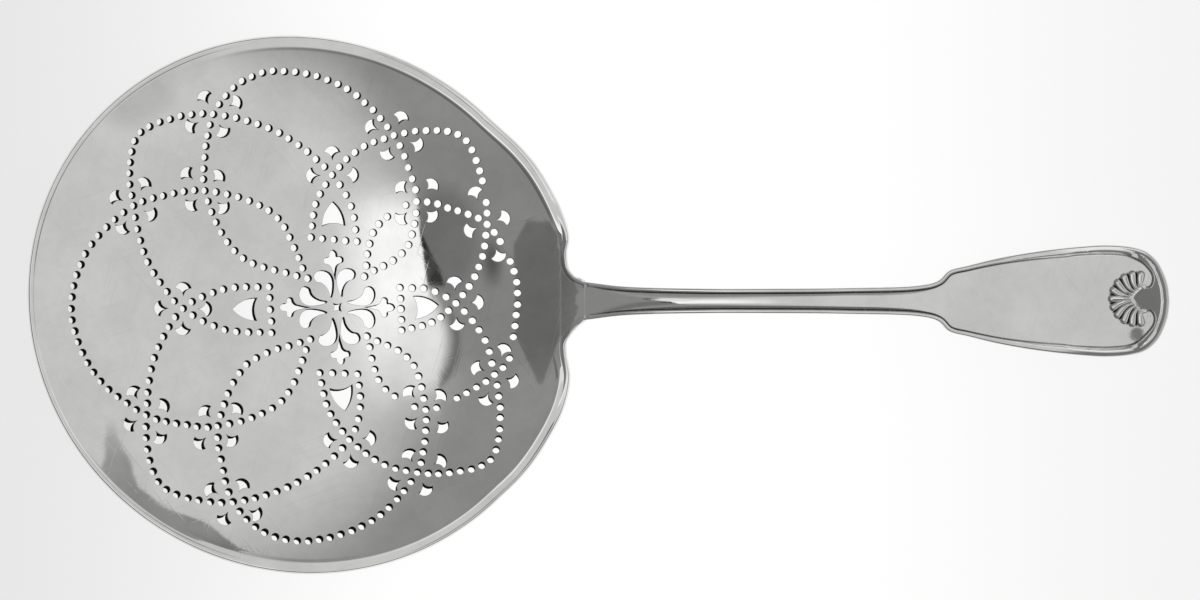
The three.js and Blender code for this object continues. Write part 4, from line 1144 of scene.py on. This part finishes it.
def buildTable():
    half = studio["tableSize"] / 2
    mesh = bpy.data.meshes.new("table")
    corners = [(-half, -half, 0), (half, -half, 0), (half, half, 0), (-half, half, 0)]
    mesh.from_pydata(corners, [], [(0, 1, 2, 3)])
    table = objectOf("table", mesh)
    table.location.z = -studio["tableDrop"]
    material = bpy.data.materials.new("pale table")
    material.use_nodes = True
    tree = material.node_tree
    tree.nodes.clear()
    out = nodeIn(tree, "ShaderNodeOutputMaterial", (400, 0))
    diffuse = nodeIn(tree, "ShaderNodeBsdfDiffuse", (-200, 100))
    diffuse.inputs["Color"].default_value = (*studio["tableColor"], 1)
    glow = nodeIn(tree, "ShaderNodeEmission", (-200, -100))
    place = nodeIn(tree, "ShaderNodeNewGeometry", (-1000, -200))
    split = nodeIn(tree, "ShaderNodeSeparateXYZ", (-800, -200))
    tree.links.new(place.outputs["Position"], split.inputs[0])
    x, y = split.outputs["X"], split.outputs["Y"]
    sums = Sums(tree)
    # painted light: the table glows for camera and glossy rays, dimmer at the left, right and far off,
    # brightest in a band under the bowl, which lifts the bowl's shadow seen through its holes
    bright = sums.times(sums.fade(x, *studio["glowRise"], studio["glowLeft"], studio["glowMiddle"]),
                        sums.fade(x, *studio["glowFall"], 1.0, studio["glowRight"]))
    near = sums.oval(x, y, *studio["glowOval"])
    tree.links.new(sums.mix(studio["glowFar"], bright, near), glow.inputs["Color"])
    path = nodeIn(tree, "ShaderNodeLightPath", (-600, 300))
    rays = [path.outputs[name] for name in ("Is Camera Ray", "Is Glossy Ray", "Is Transmission Ray")]
    seen = reduce(lambda either, ray: sums.math("MAXIMUM", either, ray), rays)
    blend = nodeIn(tree, "ShaderNodeMixShader", (200, 0))
    tree.links.new(sums.times(seen, studio["ownLight"]), blend.inputs[0])
    tree.links.new(diffuse.outputs[0], blend.inputs[1])
    tree.links.new(glow.outputs[0], blend.inputs[2])
    tree.links.new(blend.outputs[0], out.inputs[0])
    table.data.materials.append(material)


surroundings = {
    # tones, 1 being white
    "wall": 0.685, "farEnd": 0.31, "screen": 1.2, "behind": 0.285, "behindShade": 0.195,
    "lamp": 0.92, "lampRim": 0.14, "slot": 0.05, "slotClutter": 0.35,
    "haze": 0.11, "shape": 0.172, "spot": 0.58,
    "lowNear": 0.15, "lowFar": 0.3, "nearTip": 0.2, "besideTip": 1.0, "pastTip": 0.2, "floor": 0.5,
    # ovals: middle, half sizes, soft share of the size
    "shadeOval": ((-0.47, -0.24), (0.15, 0.19), 0.35),
    "rimOval": ((-0.39, 0.13), (0.135, 0.17), 0.1),
    "lampOval": ((-0.35, 0.12), (0.13, 0.17), 0.3),
    "hazeOval": ((-0.685, -0.17), (0.045, 0.07), 0.9),
    "spotOval": ((0.47, -0.8), (0.09, 0.13), 0.4),
}


def room(sums, u, v, uneven):
    # What the silver mirrors, by how far a direction leans along (u) and across (v) the handle's line.
    # Each step mixes a tone into the light, within limits of u, v and what is worked out from them
    plus, times, less, over = sums.plus, sums.times, sums.less, sums.over
    fade, within = sums.fade, sums.within
    tones = surroundings
    down = times(v, -1.0)
    sideways = sums.math("ABSOLUTE", v)
    square = times(v, v)
    low = sums.math("SQRT", plus(times(u, u), square))

    def oval(name):
        return sums.oval(u, v, *tones[name])

    # the pale wall on the side of the lip, fading to the dark end of the room behind the handle
    light = fade(less(u, times(square, 0.58)), -0.72, -0.1, tones["farEnd"], tones["wall"])
    # what lies behind the screen, whose edge is bent over at its top
    above = over(down, 0.27)
    edge = less(less(times(above, above, 0.85), times(over(v, -0.27), 0.17)), 0.36)
    beyond = less(u, edge)
    behind = within((beyond, 0.012, -0.012), (v, -0.8, -0.52), (v, 0.3, 0.14))
    light = sums.mix(light, sums.mix(tones["behind"], tones["behindShade"], oval("shadeOval")), behind)
    # the lit screen itself, and the round lamp at its foot
    screen = within((u, 0.07, -0.21), (v, -0.47, -0.25), (v, 0.47, -0.1), (beyond, -0.01, 0.01))
    light = sums.mix(light, tones["screen"], screen)
    light = sums.mix(light, tones["lampRim"], times(oval("rimOval"), fade(u, -0.44, -0.47)))
    light = sums.mix(light, tones["lamp"], times(oval("lampOval"), fade(u, -0.18, -0.36)))
    # the slot beside the screen, dark and cluttered
    widened = plus(beyond, fade(v, -0.3, -0.08, 0.0, 0.072))
    slot = within((widened, -0.006, 0.006), (beyond, 0.003, -0.003), (v, -0.29, -0.27), (v, -0.068, -0.078))
    light = sums.mix(light, plus(tones["slot"], times(uneven, tones["slotClutter"])), slot)
    light = sums.mix(light, tones["haze"], oval("hazeOval"))
    # a dark shape with a sharp outline at the end of the room
    side = plus(u, times(over(v, 0.1), 0.78), times(over(down, 0.3), 0.5))
    top = less(v, times(over(u, -0.9), 1.1))
    shape = within((side, -0.803, -0.811), (top, -0.345, -0.33), (v, 0.31, 0.29))
    light = sums.mix(light, plus(tones["shape"], times(uneven, 0.05)), shape)
    # a smear inside the lower edge, and a grey spot at the upper one
    middleLine = plus(less(0.505, times(over(v, 0.665), 0.75)), times(uneven, 0.035))
    half = times(plus(fade(v, 0.4, 0.7, 0.012, 0.05), fade(v, 0.74, 0.82, 0.0, 0.055)), fade(v, 1.03, 0.95))
    gap = less(sums.math("ABSOLUTE", less(u, middleLine)), half)
    smearTone = plus(fade(v, 0.45, 0.75, 0.45, 0.29), fade(v, 0.8, 1.0, 0.0, -0.06), times(uneven, 0.25))
    light = sums.mix(light, smearTone, within((gap, 0.006, -0.006), (v, 0.36, 0.5)))
    light = sums.mix(light, tones["spot"], oval("spotOval"))
    # low in the room: dull all round, darkest on the near side
    light = sums.mix(light, fade(v, -0.6, 0.6, tones["lowNear"], tones["lowFar"]), fade(low, 1.1, 1.35))
    # round the handle's tip: dark on the near side, bright on the far side, dark past it, then the floor
    light = sums.mix(light, tones["nearTip"], within((u, 0.7, 0.82), (v, -0.1, -0.24)))
    light = sums.mix(light, tones["besideTip"], within((u, 0.68, 0.8), (v, 0.08, 0.2), (v, 1.6, 1.2)))
    light = sums.mix(light, tones["pastTip"], within((u, 1.02, 1.08), (sideways, 0.75, 0.45)))
    return sums.mix(light, tones["floor"], fade(u, 1.7, 2.3))


def buildWorld():
    world = bpy.data.worlds.new("studio")
    bpy.context.scene.world = world
    world.use_nodes = True
    tree = world.node_tree
    tree.nodes.clear()
    out = nodeIn(tree, "ShaderNodeOutputWorld", (600, 0))
    back = nodeIn(tree, "ShaderNodeBackground", (400, 0))
    coord = nodeIn(tree, "ShaderNodeTexCoord", (-800, 0))
    split = nodeIn(tree, "ShaderNodeSeparateXYZ", (-600, 0))
    tree.links.new(coord.outputs["Generated"], split.inputs[0])
    sums = Sums(tree)
    up = sums.math("MAXIMUM", split.outputs["Z"], 0.08)
    u = sums.math("DIVIDE", split.outputs["X"], up)
    v = sums.math("DIVIDE", split.outputs["Y"], up)
    uneven = sums.less(sums.noise(coord.outputs["Generated"], 9, 3), 0.5)
    tree.links.new(room(sums, u, v, uneven), back.inputs["Color"])
    tree.links.new(back.outputs[0], out.inputs[0])


def buildLights():
    data = bpy.data.lights.new("window", "AREA")
    data.shape = "RECTANGLE"
    data.size, data.size_y = studio["windowSize"]
    data.energy = studio["windowPower"]
    window = objectOf("window", data)
    tilt = math.radians(studio["windowTilt"])
    window.location = (studio["windowAt"] - math.sin(tilt), 0, math.cos(tilt))
    window.rotation_euler = (0, -tilt, 0)
    window.visible_glossy = False  # the room already shows it in the silver


def buildCamera():
    data = bpy.data.cameras.new("camera")
    data.sensor_width = 36
    data.lens = data.sensor_width * studio["height"] * 1000 / (studio["pictureWidth"] * studio["pixel"])
    data.clip_end = 20
    camera = objectOf("camera", data)
    camera.location = (*studio["aim"], studio["height"] + studio["focus"])
    bpy.context.scene.camera = camera


buildTable()
buildWorld()
buildLights()
buildCamera()
bpy.context.scene.view_settings.view_transform = "Standard"
print("studio built")
